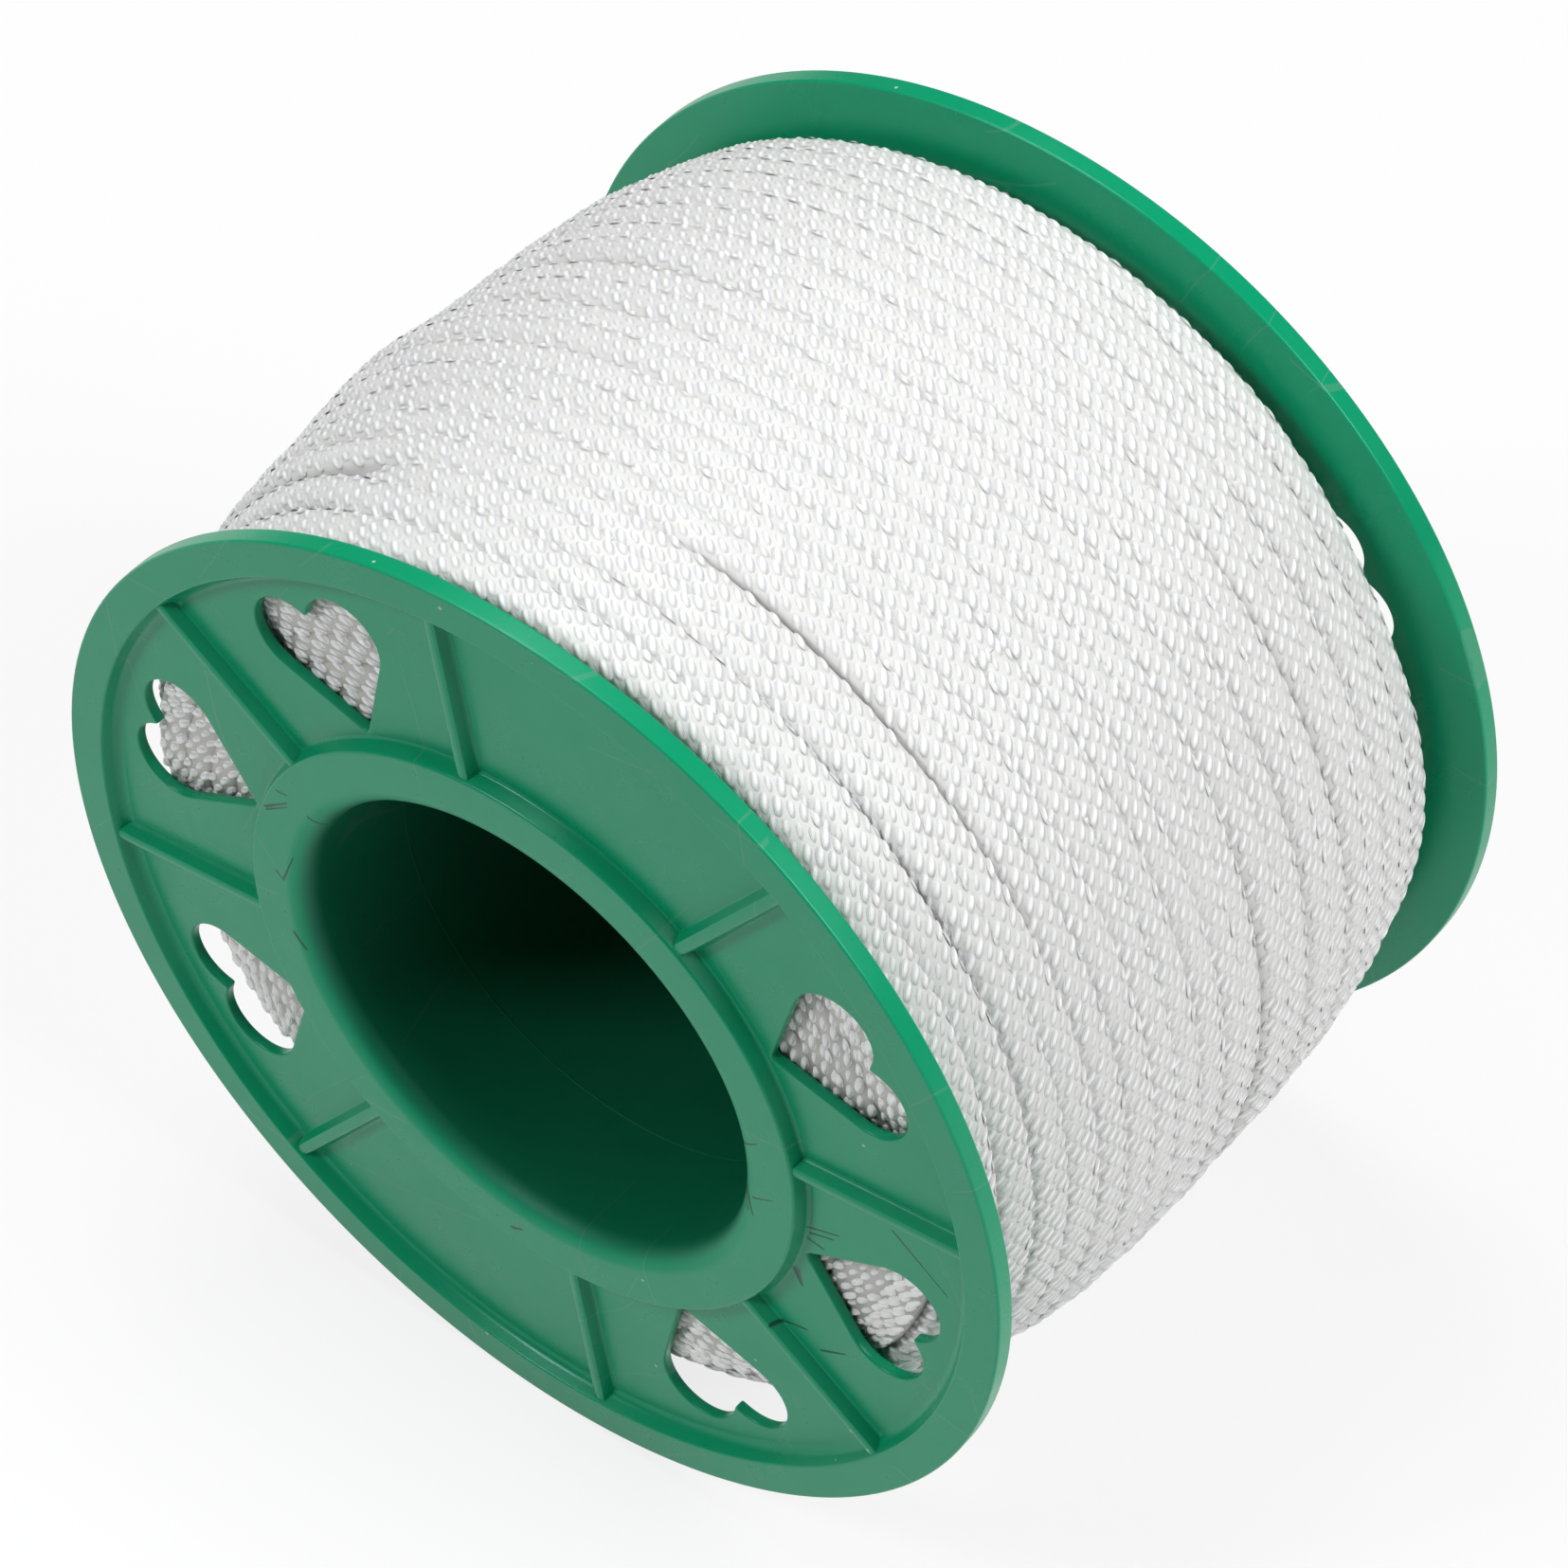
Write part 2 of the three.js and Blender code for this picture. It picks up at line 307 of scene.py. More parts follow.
def skin(rows: int, n: int, closed: bool) -> list[tuple[int, ...]]:
    """Faces between closed rows of n points each, and from the last row to the first if closed."""
    return [(i * n + j, i * n + (j + 1) % n, (i + 1) % rows * n + (j + 1) % n, (i + 1) % rows * n + j)
            for i in range(rows if closed else rows - 1) for j in range(n)]


def lathed(name: str, profile: Sequence[Point], steps: int) -> Piece:
    """A closed profile of (radius, y) points turned about the Y axis, with its faces outwards."""
    ring = np.array(profile, float)
    area = np.sum(ring[:, 0] * np.roll(ring[:, 1], -1) - np.roll(ring[:, 0], -1) * ring[:, 1])
    if area < 0:
        ring = ring[::-1]
    turn = np.linspace(0, 2 * math.pi, steps, endpoint=False)
    points = np.stack([
        np.outer(np.cos(turn), ring[:, 0]),
        np.outer(np.ones(steps), ring[:, 1]),
        np.outer(np.sin(turn), ring[:, 0]),
    ], axis=-1).reshape(-1, 3)
    return mesh_object(name, points, skin(steps, len(ring), True))


def lofted(name: str, rings: Sequence[Array]) -> Piece:
    """A closed solid through rings of as many points each, capped at both ends, its faces outwards."""
    first, n = rings[0], len(rings[0])
    middle = first.mean(axis=0)
    ahead = np.cross(first - middle, np.roll(first, -1, axis=0) - middle)
    if ahead.sum(axis=0) @ (rings[-1].mean(axis=0) - middle) < 0:
        rings = [ring[::-1] for ring in rings]
    caps = [tuple(reversed(range(n))), tuple(range((len(rings) - 1) * n, len(rings) * n))]
    return mesh_object(name, np.concatenate(rings), skin(len(rings), n, False) + caps)


# ---- Finishes ------------------------------------------------------------------------------------


def speck_group() -> Tree:
    """Fine dust: a mask of small round specks, sparse and uneven."""
    g, start = Graph.group("dust specks", "Shader", "Mask", {
        "Vector": "Vector", "Cells": 600.0, "Size": 0.12, "Share": 0.1})
    cells = g.node("ShaderNodeTexVoronoi", {"Vector": start["Vector"], "Scale": start["Cells"]}).outputs
    kept = g.math("LESS_THAN", g.out("ShaderNodeSeparateColor", {0: cells["Color"]}), start["Share"])
    return g.ended(g.times(kept, g.math("LESS_THAN", cells["Distance"], start["Size"])))


def scratch_group() -> Tree:
    """Fine scratches of use: a mask of broken hair lines that run one way."""
    g, start = Graph.group("fine scratches", "Shader", "Mask", {
        "Vector": "Vector", "Turn": 0.0, "Lines": 60.0, "Width": 0.03, "Share": 0.5})
    turned = g.out("ShaderNodeVectorRotate", {"Vector": start["Vector"], "Angle": start["Turn"]},
                   rotation_type="Y_AXIS")
    bend = g.node("ShaderNodeTexNoise", {"Vector": turned, "Scale": 45.0, "Detail": 1.0})
    lines = g.node("ShaderNodeTexWave", {
        "Vector": turned, "Scale": start["Lines"], "Distortion": 7.0, "Detail": 1.0,
        "Detail Scale": 0.8, "Phase Offset": start["Turn"],
    }, wave_type="BANDS", bands_direction="X")
    thin = g.math("GREATER_THAN", lines.outputs["Fac"], g.minus(1.0, start["Width"]))
    return g.ended(g.times(thin, g.math("GREATER_THAN", bend.outputs["Fac"], start["Share"])))


def nick_group() -> Tree:
    """One small cut in a face that looks along Y: a tapered mask from one place to another."""
    g, start = Graph.group("nick", "Shader", "Mask", {
        "Vector": "Vector", "From": "Vector", "To": "Vector", "Width": 0.0002})
    flat = g.vector("MULTIPLY", start["Vector"], (1.0, 0.0, 1.0))
    away = g.vector("SUBTRACT", flat, start["From"])
    cut = g.vector("SUBTRACT", start["To"], start["From"])
    share = g.math("DIVIDE", g.vector("DOT_PRODUCT", away, cut), g.vector("DOT_PRODUCT", cut, cut))
    share = g.math("MINIMUM", g.math("MAXIMUM", share, 0.0), 1.0)
    distance = g.vector("LENGTH", g.vector("SUBTRACT", away, g.scaled(cut, share)))
    width = g.times(start["Width"], g.minus(1.0, g.times(share, 0.5)))
    return g.ended(g.math("MAXIMUM", g.minus(1.0, g.math("DIVIDE", distance, width)), 0.0))


def mottle_group() -> Tree:
    """Slow unevenness of a colour: a value about 0 that drifts over the surface."""
    g, start = Graph.group("mottle", "Shader", "Value", {
        "Vector": "Vector", "Scale": 60.0, "Amount": 0.1})
    noise = g.node("ShaderNodeTexNoise", {"Vector": start["Vector"], "Scale": start["Scale"],
                                          "Detail": 4.0, "Roughness": 0.6})
    return g.ended(g.times(g.minus(noise.outputs["Fac"], 0.5), start["Amount"]))


@dataclass(frozen=True)
class Effects:
    """The shader groups that the finishes share."""

    specks: Tree = field(default_factory=speck_group)
    scratches: Tree = field(default_factory=scratch_group)
    mottle: Tree = field(default_factory=mottle_group)
    nick: Tree = field(default_factory=nick_group)


def blank_material(name: str) -> tuple[Finish, Graph, bpy.types.Node]:
    """A new material, with its graph and its Principled shader."""
    made = bpy.data.materials.new(name)
    made.use_nodes = True
    return made, Graph(made.node_tree), made.node_tree.nodes["Principled BSDF"]


@dataclass(frozen=True)
class Nick:
    """A small cut in the near face, from one place to another across it."""

    start: Point
    stop: Point
    width: float = 0.00022


NICKS = (
    Nick((0.02443, 0.00435), (0.02649, 0.00610), 0.00018),
    Nick((0.02460, -0.00068), (0.02532, -0.00407)),
    Nick((0.02493, -0.00104), (0.02602, -0.00403), 0.00030),
    Nick((0.02604, -0.00163), (0.02810, -0.00043), 0.00016),
    Nick((0.03086, -0.00332), (0.03410, -0.00198), 0.00018),
    Nick((0.03106, -0.00395), (0.03350, -0.00300), 0.00018),
    Nick((0.03086, -0.00491), (0.03250, -0.00517), 0.00024),
    Nick((0.02955, -0.01040), (0.03017, -0.01206), 0.00050),
    Nick((0.02755, -0.01924), (0.03071, -0.01824)),
    Nick((0.03238, -0.01989), (0.03487, -0.01833), 0.00018),
    Nick((0.03970, 0.00343), (0.04560, -0.00096), 0.00014),
    Nick((-0.02638, 0.01370), (-0.02527, 0.01384), 0.00020),
    Nick((-0.02799, 0.01056), (-0.02536, 0.01277)),
    Nick((-0.02789, 0.01022), (-0.02532, 0.01227), 0.00016),
    Nick((-0.02738, 0.00233), (-0.02667, 0.00164)),
    Nick((-0.02667, 0.00164), (-0.02534, 0.00535), 0.00016),
    Nick((-0.02599, -0.00503), (-0.02478, -0.00677), 0.00024),
    Nick((-0.02296, 0.01263), (-0.02172, 0.01175), 0.00018),
    Nick((-0.00176, -0.02859), (-0.00062, -0.02801), 0.00030),
)


@dataclass(frozen=True)
class GreenPlastic:
    """Moulded green plastic with a soft gloss, rubbed, nicked and a little dusty, with painted shade in
    the bore.
    """

    name: str
    colour: Colour = (0.002, 0.285, 0.130, 1.0)
    dust_colour: Colour = (0.62, 0.68, 0.62, 1.0)
    dug_colour: Colour = (0.002, 0.06, 0.03, 1.0)
    specular: float = 0.36
    specular_tint: Colour = (0.62, 0.90, 1.0, 1.0)
    roughness: float = 0.30
    lip_roughness: float = 0.22
    lip: float = 0.0012
    dust: float = 0.032
    rubbed: float = 0.5
    scratches: tuple[Point, ...] = ((0.4, 34.0), (1.7, 27.0), (2.6, 40.0))
    grain_height: float = 0.00002
    nicks: tuple[Nick, ...] = ()
    nicked_from: float = -0.035
    # Where the painted shade inside the bore lies, and how dark it is painted at the mouth and deep in.
    bore: Point = (0.0256, 0.0243)
    bore_depth: Point = (0.037, 0.014)
    mouth_shade: float = 0.51
    deep_shade: float = 0.33

    def toned(self, share: float, lift: float = 0.0) -> Colour:
        """The plastic's colour made darker, lighter or paler."""
        return tuple(c * share + lift for c in self.colour[:3]) + (1.0,)

    def material(self, effects: Effects) -> Finish:
        """Builds the material.

        Args:
            effects: the shared shader groups.

        Returns:
            The material.
        """
        made, g, shader = blank_material(self.name)
        place = g.node("ShaderNodeTexCoord").outputs["Object"]
        middle = g.vector("LENGTH", g.vector("MULTIPLY", place, (1.0, 0.0, 1.0)))
        height = g.parts(place)[1]
        drift = g.use(effects.mottle, Vector=place, Scale=70.0, Amount=0.5)
        body = g.mix(g.plus(drift, 0.5), self.toned(0.86), self.toned(1.12))
        marks = g.strongest(
            g.use(effects.scratches, Vector=place, Turn=turn, Lines=lines, Width=0.0012, Share=0.60)
            for turn, lines in self.scratches
        )
        body = g.mix(g.times(marks, self.rubbed), body, self.toned(0.8, 0.07))
        dust = g.use(effects.specks, Vector=place, Cells=520.0, Size=0.10, Share=self.dust)
        body = g.mix(g.times(dust, 0.55), body, self.dust_colour)
        # Painted shade inside the bore: the colour is darkened there, more the farther in from the mouth.
        deep = g.spread(g.size(height), *self.bore_depth)
        shade = g.math("MULTIPLY_ADD", deep, self.deep_shade - self.mouth_shade, self.mouth_shade)
        body = g.mix(g.spread(middle, *self.bore), body, g.scaled(body, shade))
        if self.nicks:
            cuts = g.strongest(
                g.use(effects.nick, Vector=place, From=(nick.start[0], 0.0, nick.start[1]),
                      To=(nick.stop[0], 0.0, nick.stop[1]), Width=nick.width)
                for nick in self.nicks
            )
            cuts = g.times(cuts, g.math("LESS_THAN", height, self.nicked_from))
            body = g.mix(g.math("MINIMUM", g.times(cuts, 2.2), 0.9), body, self.dug_colour)
            marks = g.plus(marks, g.times(cuts, 3.0))
        gloss = g.use(effects.mottle, Vector=place, Scale=160.0, Amount=0.25)
        rough = g.plus(g.plus(gloss, self.roughness), g.times(dust, 0.4))
        lip = g.spread(middle, self.bore[0] + self.lip, self.bore[0])
        skin_noise = g.node("ShaderNodeTexNoise", {"Vector": place, "Scale": 900.0, "Detail": 2.0})
        relief = g.minus(g.times(skin_noise.outputs["Fac"], 0.35), marks)
        g.fill(shader, {
            "Base Color": body,
            "Specular IOR Level": self.specular,
            "Specular Tint": self.specular_tint,
            "Roughness": g.math("MULTIPLY_ADD", lip, self.lip_roughness, rough),
            "Normal": g.bump(relief, self.grain_height, 0.6),
        })
        return made


@dataclass(frozen=True)
class WhiteBraid:
    """White braided nylon: satin filaments, each float with a painted highlight and a painted shadow."""

    name: str
    # Colours of the painted highlight and the painted shadow, then of the floats and of the holes.
    glint_colour: Colour = (0.99, 0.99, 0.99, 1.0)
    shade_colour: Colour = (0.52, 0.53, 0.57, 1.0)
    float_colour: Colour = (0.66, 0.66, 0.66, 1.0)
    hole_colour: Colour = (0.67, 0.67, 0.66, 1.0)
    # Where and how big the painted highlight and the painted shadow are on each float.
    glint_at: float = 0.56
    glint_lean: float = 0.55
    glint_width: float = 0.38
    glint_least: float = 0.66
    glint_swing: float = 0.40
    shadow_at: float = 0.46
    shadow_aside: float = 0.28
    shadow_width: float = 0.26
    spot_ends: Point = (0.54, 0.12)
    spot_edge: float = 7.0
    roughness: float = 0.42
    shine: float = 0.35
    glow: float = 0.25
    glow_depth: float = 0.0004
    filaments: float = 7.0
    filament_height: float = 0.00004

    def spot(self, g: Graph, along: Socket, middle: float, side: Socket, width: float) -> Socket:
        """A soft slender spot on a float, for a painted highlight or a painted shadow.

        Args:
            g: the graph it goes in.
            along: where along the float, 0 to 1.
            middle: the spot's middle there.
            side: how far aside from the spot's middle line.
            width: the spot's half width.

        Returns:
            1 in the spot and 0 outside it.
        """
        length = g.spread(g.size(g.minus(along, middle)), *self.spot_ends)
        return g.times(length, g.spread(g.size(side), width, width / self.spot_edge))

    def material(self, effects: Effects) -> Finish:
        """Builds the material.

        Args:
            effects: the shared shader groups.

        Returns:
            The material.
        """
        made, g, shader = blank_material(self.name)
        place = g.node("ShaderNodeTexCoord").outputs["Object"]
        raised, shade = (g.node("ShaderNodeAttribute", attribute_name=name).outputs["Fac"]
                         for name in ("raised", "shade"))
        along, across, _ = g.parts(g.out("ShaderNodeUVMap", uv_map="UVMap"))
        drift = g.use(effects.mottle, Vector=place, Scale=110.0, Amount=0.25)
        level = g.plus(g.plus(drift, g.times(g.minus(shade, 0.5), 0.18)), 0.95)
        tone = g.times(raised, g.math("MINIMUM", level, 1.0))
        side = g.plus(g.minus(across, 0.5), g.times(g.minus(along, 0.5), self.glint_lean))
        # Painted shadow: a darker spot to one side of each float.
        shadow = self.spot(g, along, self.shadow_at, g.plus(side, self.shadow_aside), self.shadow_width)
        # The floats and the holes between them each take a colour; where the holes are given darker, that
        # is painted shade.
        dull = g.mix(tone, self.hole_colour, self.float_colour)
        dull = g.mix(g.times(shadow, tone), dull, self.shade_colour)
        # Painted highlight: a bright slender spot along each float, brighter on some floats than others.
        glint = self.spot(g, along, self.glint_at, side, self.glint_width)
        bright = g.plus(g.times(shade, self.glint_swing), self.glint_least)
        strands = g.math("SINE", g.times(across, self.filaments * 2 * math.pi))
        shader.subsurface_method = "BURLEY"
        g.fill(shader, {
            "Base Color": g.mix(g.times(g.times(glint, tone), bright), dull, self.glint_colour),
            "Roughness": self.roughness,
            "Specular IOR Level": self.shine,
            "Subsurface Weight": self.glow,
            "Subsurface Radius": (1.0, 1.0, 1.0),
            "Subsurface Scale": self.glow_depth,
            "Normal": g.bump(g.times(strands, raised), self.filament_height, 0.5),
        })
        return made


# ---- Flange --------------------------------------------------------------------------------------


@dataclass
class Flange:
    """One end of the spool: a recessed disc with rim and hub rings, ribs and heart windows."""

    end: End
    radius: float = 0.0520
    half_width: float = 0.0370
    rim_thickness: float = 0.0019
    rim_inner: float = 0.0483
    edge_rounding: float = 0.00025
    recess: float = 0.0015
    web: float = 0.0011
    wall_draft: float = 0.0007
    taper_start: float = 0.0445
    hub: float = 0.0304
    hub_draft: float = 0.0005
    hub_rounding: float = 0.0003
    bore: float = 0.0243
    bore_lip: float = 0.0022
    collar_wall: float = 0.0015
    collar_reach: float = 0.0134
    collar_rounding: float = 0.0004
    seam_bead: float = 0.00008
    foot_rounding: float = 0.0004
    rim_foot_rounding: float = 0.0011
    ribs: int = 8
    first_rib: float = 9.0
    rib_height: float = 0.00125
    rib_foot: float = 0.0018
    rib_top: float = 0.0009
    rib_flare: float = 0.0003
    heart_tip: float = 0.0314
    heart_lobe_centre: float = 0.0411
    heart_lobe_offset: float = 0.0035
    heart_lobe: float = 0.00405
    heart_edge: float = 0.0002
    heart_softness: float = 0.00035
    past: float = 0.0006
    plain_sectors: tuple[int, int] = (1, 5)
    steps: int = 224

    @property
    def back(self) -> float:
        """How far the inner face lies from the outer face."""
        return self.recess + self.web

    def section(self) -> list[Point]:
        """The flange's turned section as (radius, depth from the outer face)."""
        e = self.edge_rounding
        fall = self.back - self.rim_thickness
        run = self.radius - self.taper_start
        taper = [(self.taper_start + s * run, self.back - fall * s * s, 0.0)
                 for s in (0.8, 0.6, 0.4, 0.2)]
        collar = self.bore + self.collar_wall
        return softened([
            (self.rim_inner, 0.0, e),
            (self.radius, 0.0, e),
            (self.radius, self.rim_thickness, e),
            *taper,
            (self.taper_start, self.back, 0.0),
            (collar, self.back, 0.0),
            (collar, self.collar_reach, self.collar_rounding),
            (self.bore, self.collar_reach, 0.0),
            (self.bore - self.seam_bead, self.collar_reach, 0.0),
            (self.bore, self.collar_reach - 2 * self.seam_bead, 0.0),
            (self.bore, 0.0, self.bore_lip),
            (self.hub, 0.0, self.hub_rounding),
            (self.hub + self.hub_draft, self.recess, self.foot_rounding),
            (self.rim_inner - self.wall_draft, self.recess, self.rim_foot_rounding),
        ], 6)

    def rib(self) -> Piece:
        """One rib along +X with a rounded top and a flared foot, as a solid for joining."""
        foot, top, flare = self.rib_foot / 2, self.rib_top / 2, self.rib_flare
        half = [
            (foot + flare, self.recess + 0.0003), (foot + flare, self.recess + 0.00002),
            (foot + flare * 0.35, self.recess - flare * 0.3), (foot, self.recess - flare),
            (top + 0.0002, self.recess - self.rib_height * 0.72),
            (top + 0.0001, self.recess - self.rib_height * 0.9),
            (top * 0.75, self.recess - self.rib_height * 0.98),
            (top * 0.3, self.recess - self.rib_height),
        ]
        outline = half + [(-v, h) for v, h in reversed(half)]
        return lofted("rib", [np.array([(x, h, v) for v, h in outline])
                              for x in (self.hub - 0.0008, self.rim_inner + self.past)])

    def heart_outline(self) -> Array:
        """The window's closed outline as (x, z): a soft tip towards the hub, two round lobes."""
        run, off, lobe = self.heart_lobe_centre - self.heart_tip, self.heart_lobe_offset, self.heart_lobe
        side = math.atan2(off, run) + math.asin(lobe / math.hypot(run, off))
        cleft = math.asin(off / lobe)
        upper = [(self.heart_lobe_centre + lobe * math.cos(a), off + lobe * math.sin(a))
                 for a in np.linspace(-cleft, side + math.pi / 2, 40)]
        lower = [(x, -z) for x, z in reversed(upper)]
        return self.evened(np.array([(self.heart_tip, 0.0)] + lower + upper[1:]), 132)

    def evened(self, ring: Array, count: int) -> Array:
        """A closed outline with points evenly apart and its sharp places softened.

        Args:
            ring: the outline's points.
            count: how many points the new outline has.

        Returns:
            The new outline.
        """
        closed = np.vstack([ring, ring[:1]])
        way = np.concatenate([[0], np.cumsum(np.linalg.norm(np.diff(closed, axis=0), axis=1))])
        at = np.linspace(0, way[-1], count, endpoint=False)
        even = np.stack([np.interp(at, way, closed[:, k]) for k in (0, 1)], axis=1)
        reach = np.fft.fftfreq(count, way[-1] / count)
        soft = np.exp(-2 * (math.pi * reach * self.heart_softness) ** 2)
        return np.stack([np.fft.ifft(np.fft.fft(even[:, k]) * soft).real for k in (0, 1)], axis=1)

    def heart(self) -> Piece:
        """The solid that cuts one window, a little wider at both faces to soften its edges."""
        outline = self.heart_outline()
        ahead = np.roll(outline, -1, axis=0) - np.roll(outline, 1, axis=0)
        normal = np.stack([ahead[:, 1], -ahead[:, 0]], axis=1)
        normal /= np.linalg.norm(normal, axis=1)[:, None]
        if np.mean(np.sum(normal * (outline - outline.mean(axis=0)), axis=1)) < 0:
            normal = -normal
        e, front, back = self.heart_edge, self.recess, self.back
        rings = []
        for depth, wider in (
            (front - self.past, e), (front, e), (front + 0.15 * e, 0.55 * e), (front + 0.45 * e, 0.2 * e),
            (front + e, 0.0), (back - e, 0.0), (back - 0.45 * e, 0.2 * e), (back - 0.1 * e, 0.55 * e),
            (back, e), (back + self.past, e),
        ):
            at = outline + normal * wider
            rings.append(np.stack([at[:, 0], np.full(len(at), depth), at[:, 1]], axis=1))
        return lofted("heart", rings)

    @staticmethod
    def moulding_tree() -> Tree:
        """Joins the ribs to the turned disc and cuts the windows, both repeated about the axis."""
        g, start = Graph.group("moulded flange", "Geometry", "Geometry", {
            "Geometry": "Geometry", "Rib": "Object", "Heart": "Object", "Count": 8,
            "First Angle": 0.0, "Plain Sector A": 0, "Plain Sector B": 0, "Material": "Material"})
        index = g.out("GeometryNodeInputIndex")
        pitch = g.math("DIVIDE", 2 * math.pi, start["Count"])

        def ring(source: Socket, share: float) -> Socket:
            """Copies of an object about the axis, from a share of a sector past each rib."""
            line = g.out("GeometryNodeMeshLine", {"Count": start["Count"], "Offset": (0.0, 0.0, 0.0)})
            angle = g.math("MULTIPLY_ADD", g.plus(index, share), pitch, start["First Angle"])
            shape = g.node("GeometryNodeObjectInfo", {"Object": source}).outputs["Geometry"]
            copies = g.node("GeometryNodeInstanceOnPoints", {
                "Points": line, "Instance": shape,
                "Rotation": g.out("ShaderNodeCombineXYZ", {"Y": g.times(angle, -1.0)}),
            })
            if share:
                kept = g.node("FunctionNodeBooleanMath", operation="AND")
                for slot, plain in enumerate(("Plain Sector A", "Plain Sector B")):
                    test = g.node("FunctionNodeCompare", data_type="INT", operation="NOT_EQUAL")
                    for number, value in zip(g.live(test.inputs, "INT"), (index, start[plain])):
                        g.set(number, value)
                    g.set(kept.inputs[slot], test.outputs[0])
                g.set(copies.inputs["Selection"], kept.outputs[0])
            return g.out("GeometryNodeRealizeInstances", {0: copies.outputs[0]})

        joined = g.node("GeometryNodeMeshBoolean", operation="UNION", solver="EXACT")
        for solid in (start["Geometry"], ring(start["Rib"], 0.0)):
            g.set(joined.inputs["Mesh 2"], solid)
        cut = g.out("GeometryNodeMeshBoolean", {
            "Mesh 1": joined.outputs[0], "Mesh 2": ring(start["Heart"], 0.5),
        }, operation="DIFFERENCE", solver="EXACT")
        return g.dressed(cut, start["Material"])

    def build(self, tree: Tree, material: Finish) -> Piece:
        """Builds the flange in place.

        Args:
            tree: the moulding tree.
            material: its plastic.

        Returns:
            The piece.
        """
        rib, heart = self.rib(), self.heart()
        piece = grown(lathed("disc", self.section(), self.steps), tree, {
            "Rib": rib, "Heart": heart, "Count": self.ribs,
            "First Angle": math.radians(self.first_rib),
            "Plain Sector A": self.plain_sectors[0], "Plain Sector B": self.plain_sectors[1],
            "Material": material,
        }, self.end.name.lower() + "_flange_moulding")
        for helper in (rib, heart):
            bpy.data.objects.remove(helper)
        self.place(piece.data)
        even = smoothed(piece, 38).modifiers.new("even shading", "WEIGHTED_NORMAL")
        even.keep_sharp = True
        even.weight = 60
        return piece

    def place(self, mesh: bpy.types.Mesh) -> None:
        """Moves the moulding to its end; the far one is turned end for end, its hearts in line."""
        at = np.empty(len(mesh.vertices) * 3)
        mesh.vertices.foreach_get("co", at)
        at = at.reshape(-1, 3)
        if self.end is End.NEAR:
            at[:, 1] -= self.half_width
        else:
            axis = math.radians(self.first_rib + (self.plain_sectors[0] + 0.5) * 360 / self.ribs)
            c, s = math.cos(2 * axis), math.sin(2 * axis)
            x, z = at[:, 0].copy(), at[:, 2].copy()
            at[:, 0], at[:, 2] = c * x + s * z, s * x - c * z
            at[:, 1] = self.half_width - at[:, 1]
        mesh.vertices.foreach_set("co", at.ravel())
        mesh.update()


@dataclass
class Barrel:
    """The tube between the flanges, with a socket in each end for a flange's collar."""

    bore: float = 0.0243
    outside: float = 0.0280
    half_length: float = 0.0341
    socket: float = 0.0261
    socket_floor: float = 0.02358
    steps: int = 192

    def build(self, material: Finish) -> Piece:
        """Builds the barrel in place.

        Args:
            material: its plastic.

        Returns:
            The piece.
        """
        half = [
            (self.bore, self.socket_floor, 0.0),
            (self.socket, self.socket_floor, 0.0001),
            (self.socket, self.half_length, 0.0002),
            (self.outside, self.half_length, 0.0002),
        ]
        corners = half + [(r, -y, e) for r, y, e in reversed(half)]
        piece = lathed("barrel_tube", softened(corners, 4), self.steps)
        piece.data.materials.append(material)
        return smoothed(piece, 38)


# ---- Line ----------------------------------------------------------------------------------------


def outwards(angle: Array) -> Array:
    """The direction away from the spool's axis at each angle."""
    return np.stack([np.cos(angle), np.zeros_like(angle), np.sin(angle)], axis=1)


def beside(angle: Any, middle: float, turn: float = 360.0) -> Any:
    """How far angles in degrees lie past another, within half a turn of it either way."""
    return (angle - middle + turn / 2) % turn - turn / 2


@dataclass(frozen=True)
class Gap:
    """A place where two turns stand apart and show the layer below."""

    y: float
    angle: float
    opening: float
    reach: float


@dataclass(frozen=True)
class Dive:
    """A stretch where one turn sinks below its neighbours, which close over it."""

    y: float
    start: float
    stop: float
    depth: float
    closing: float
    ramp: float = 11.0


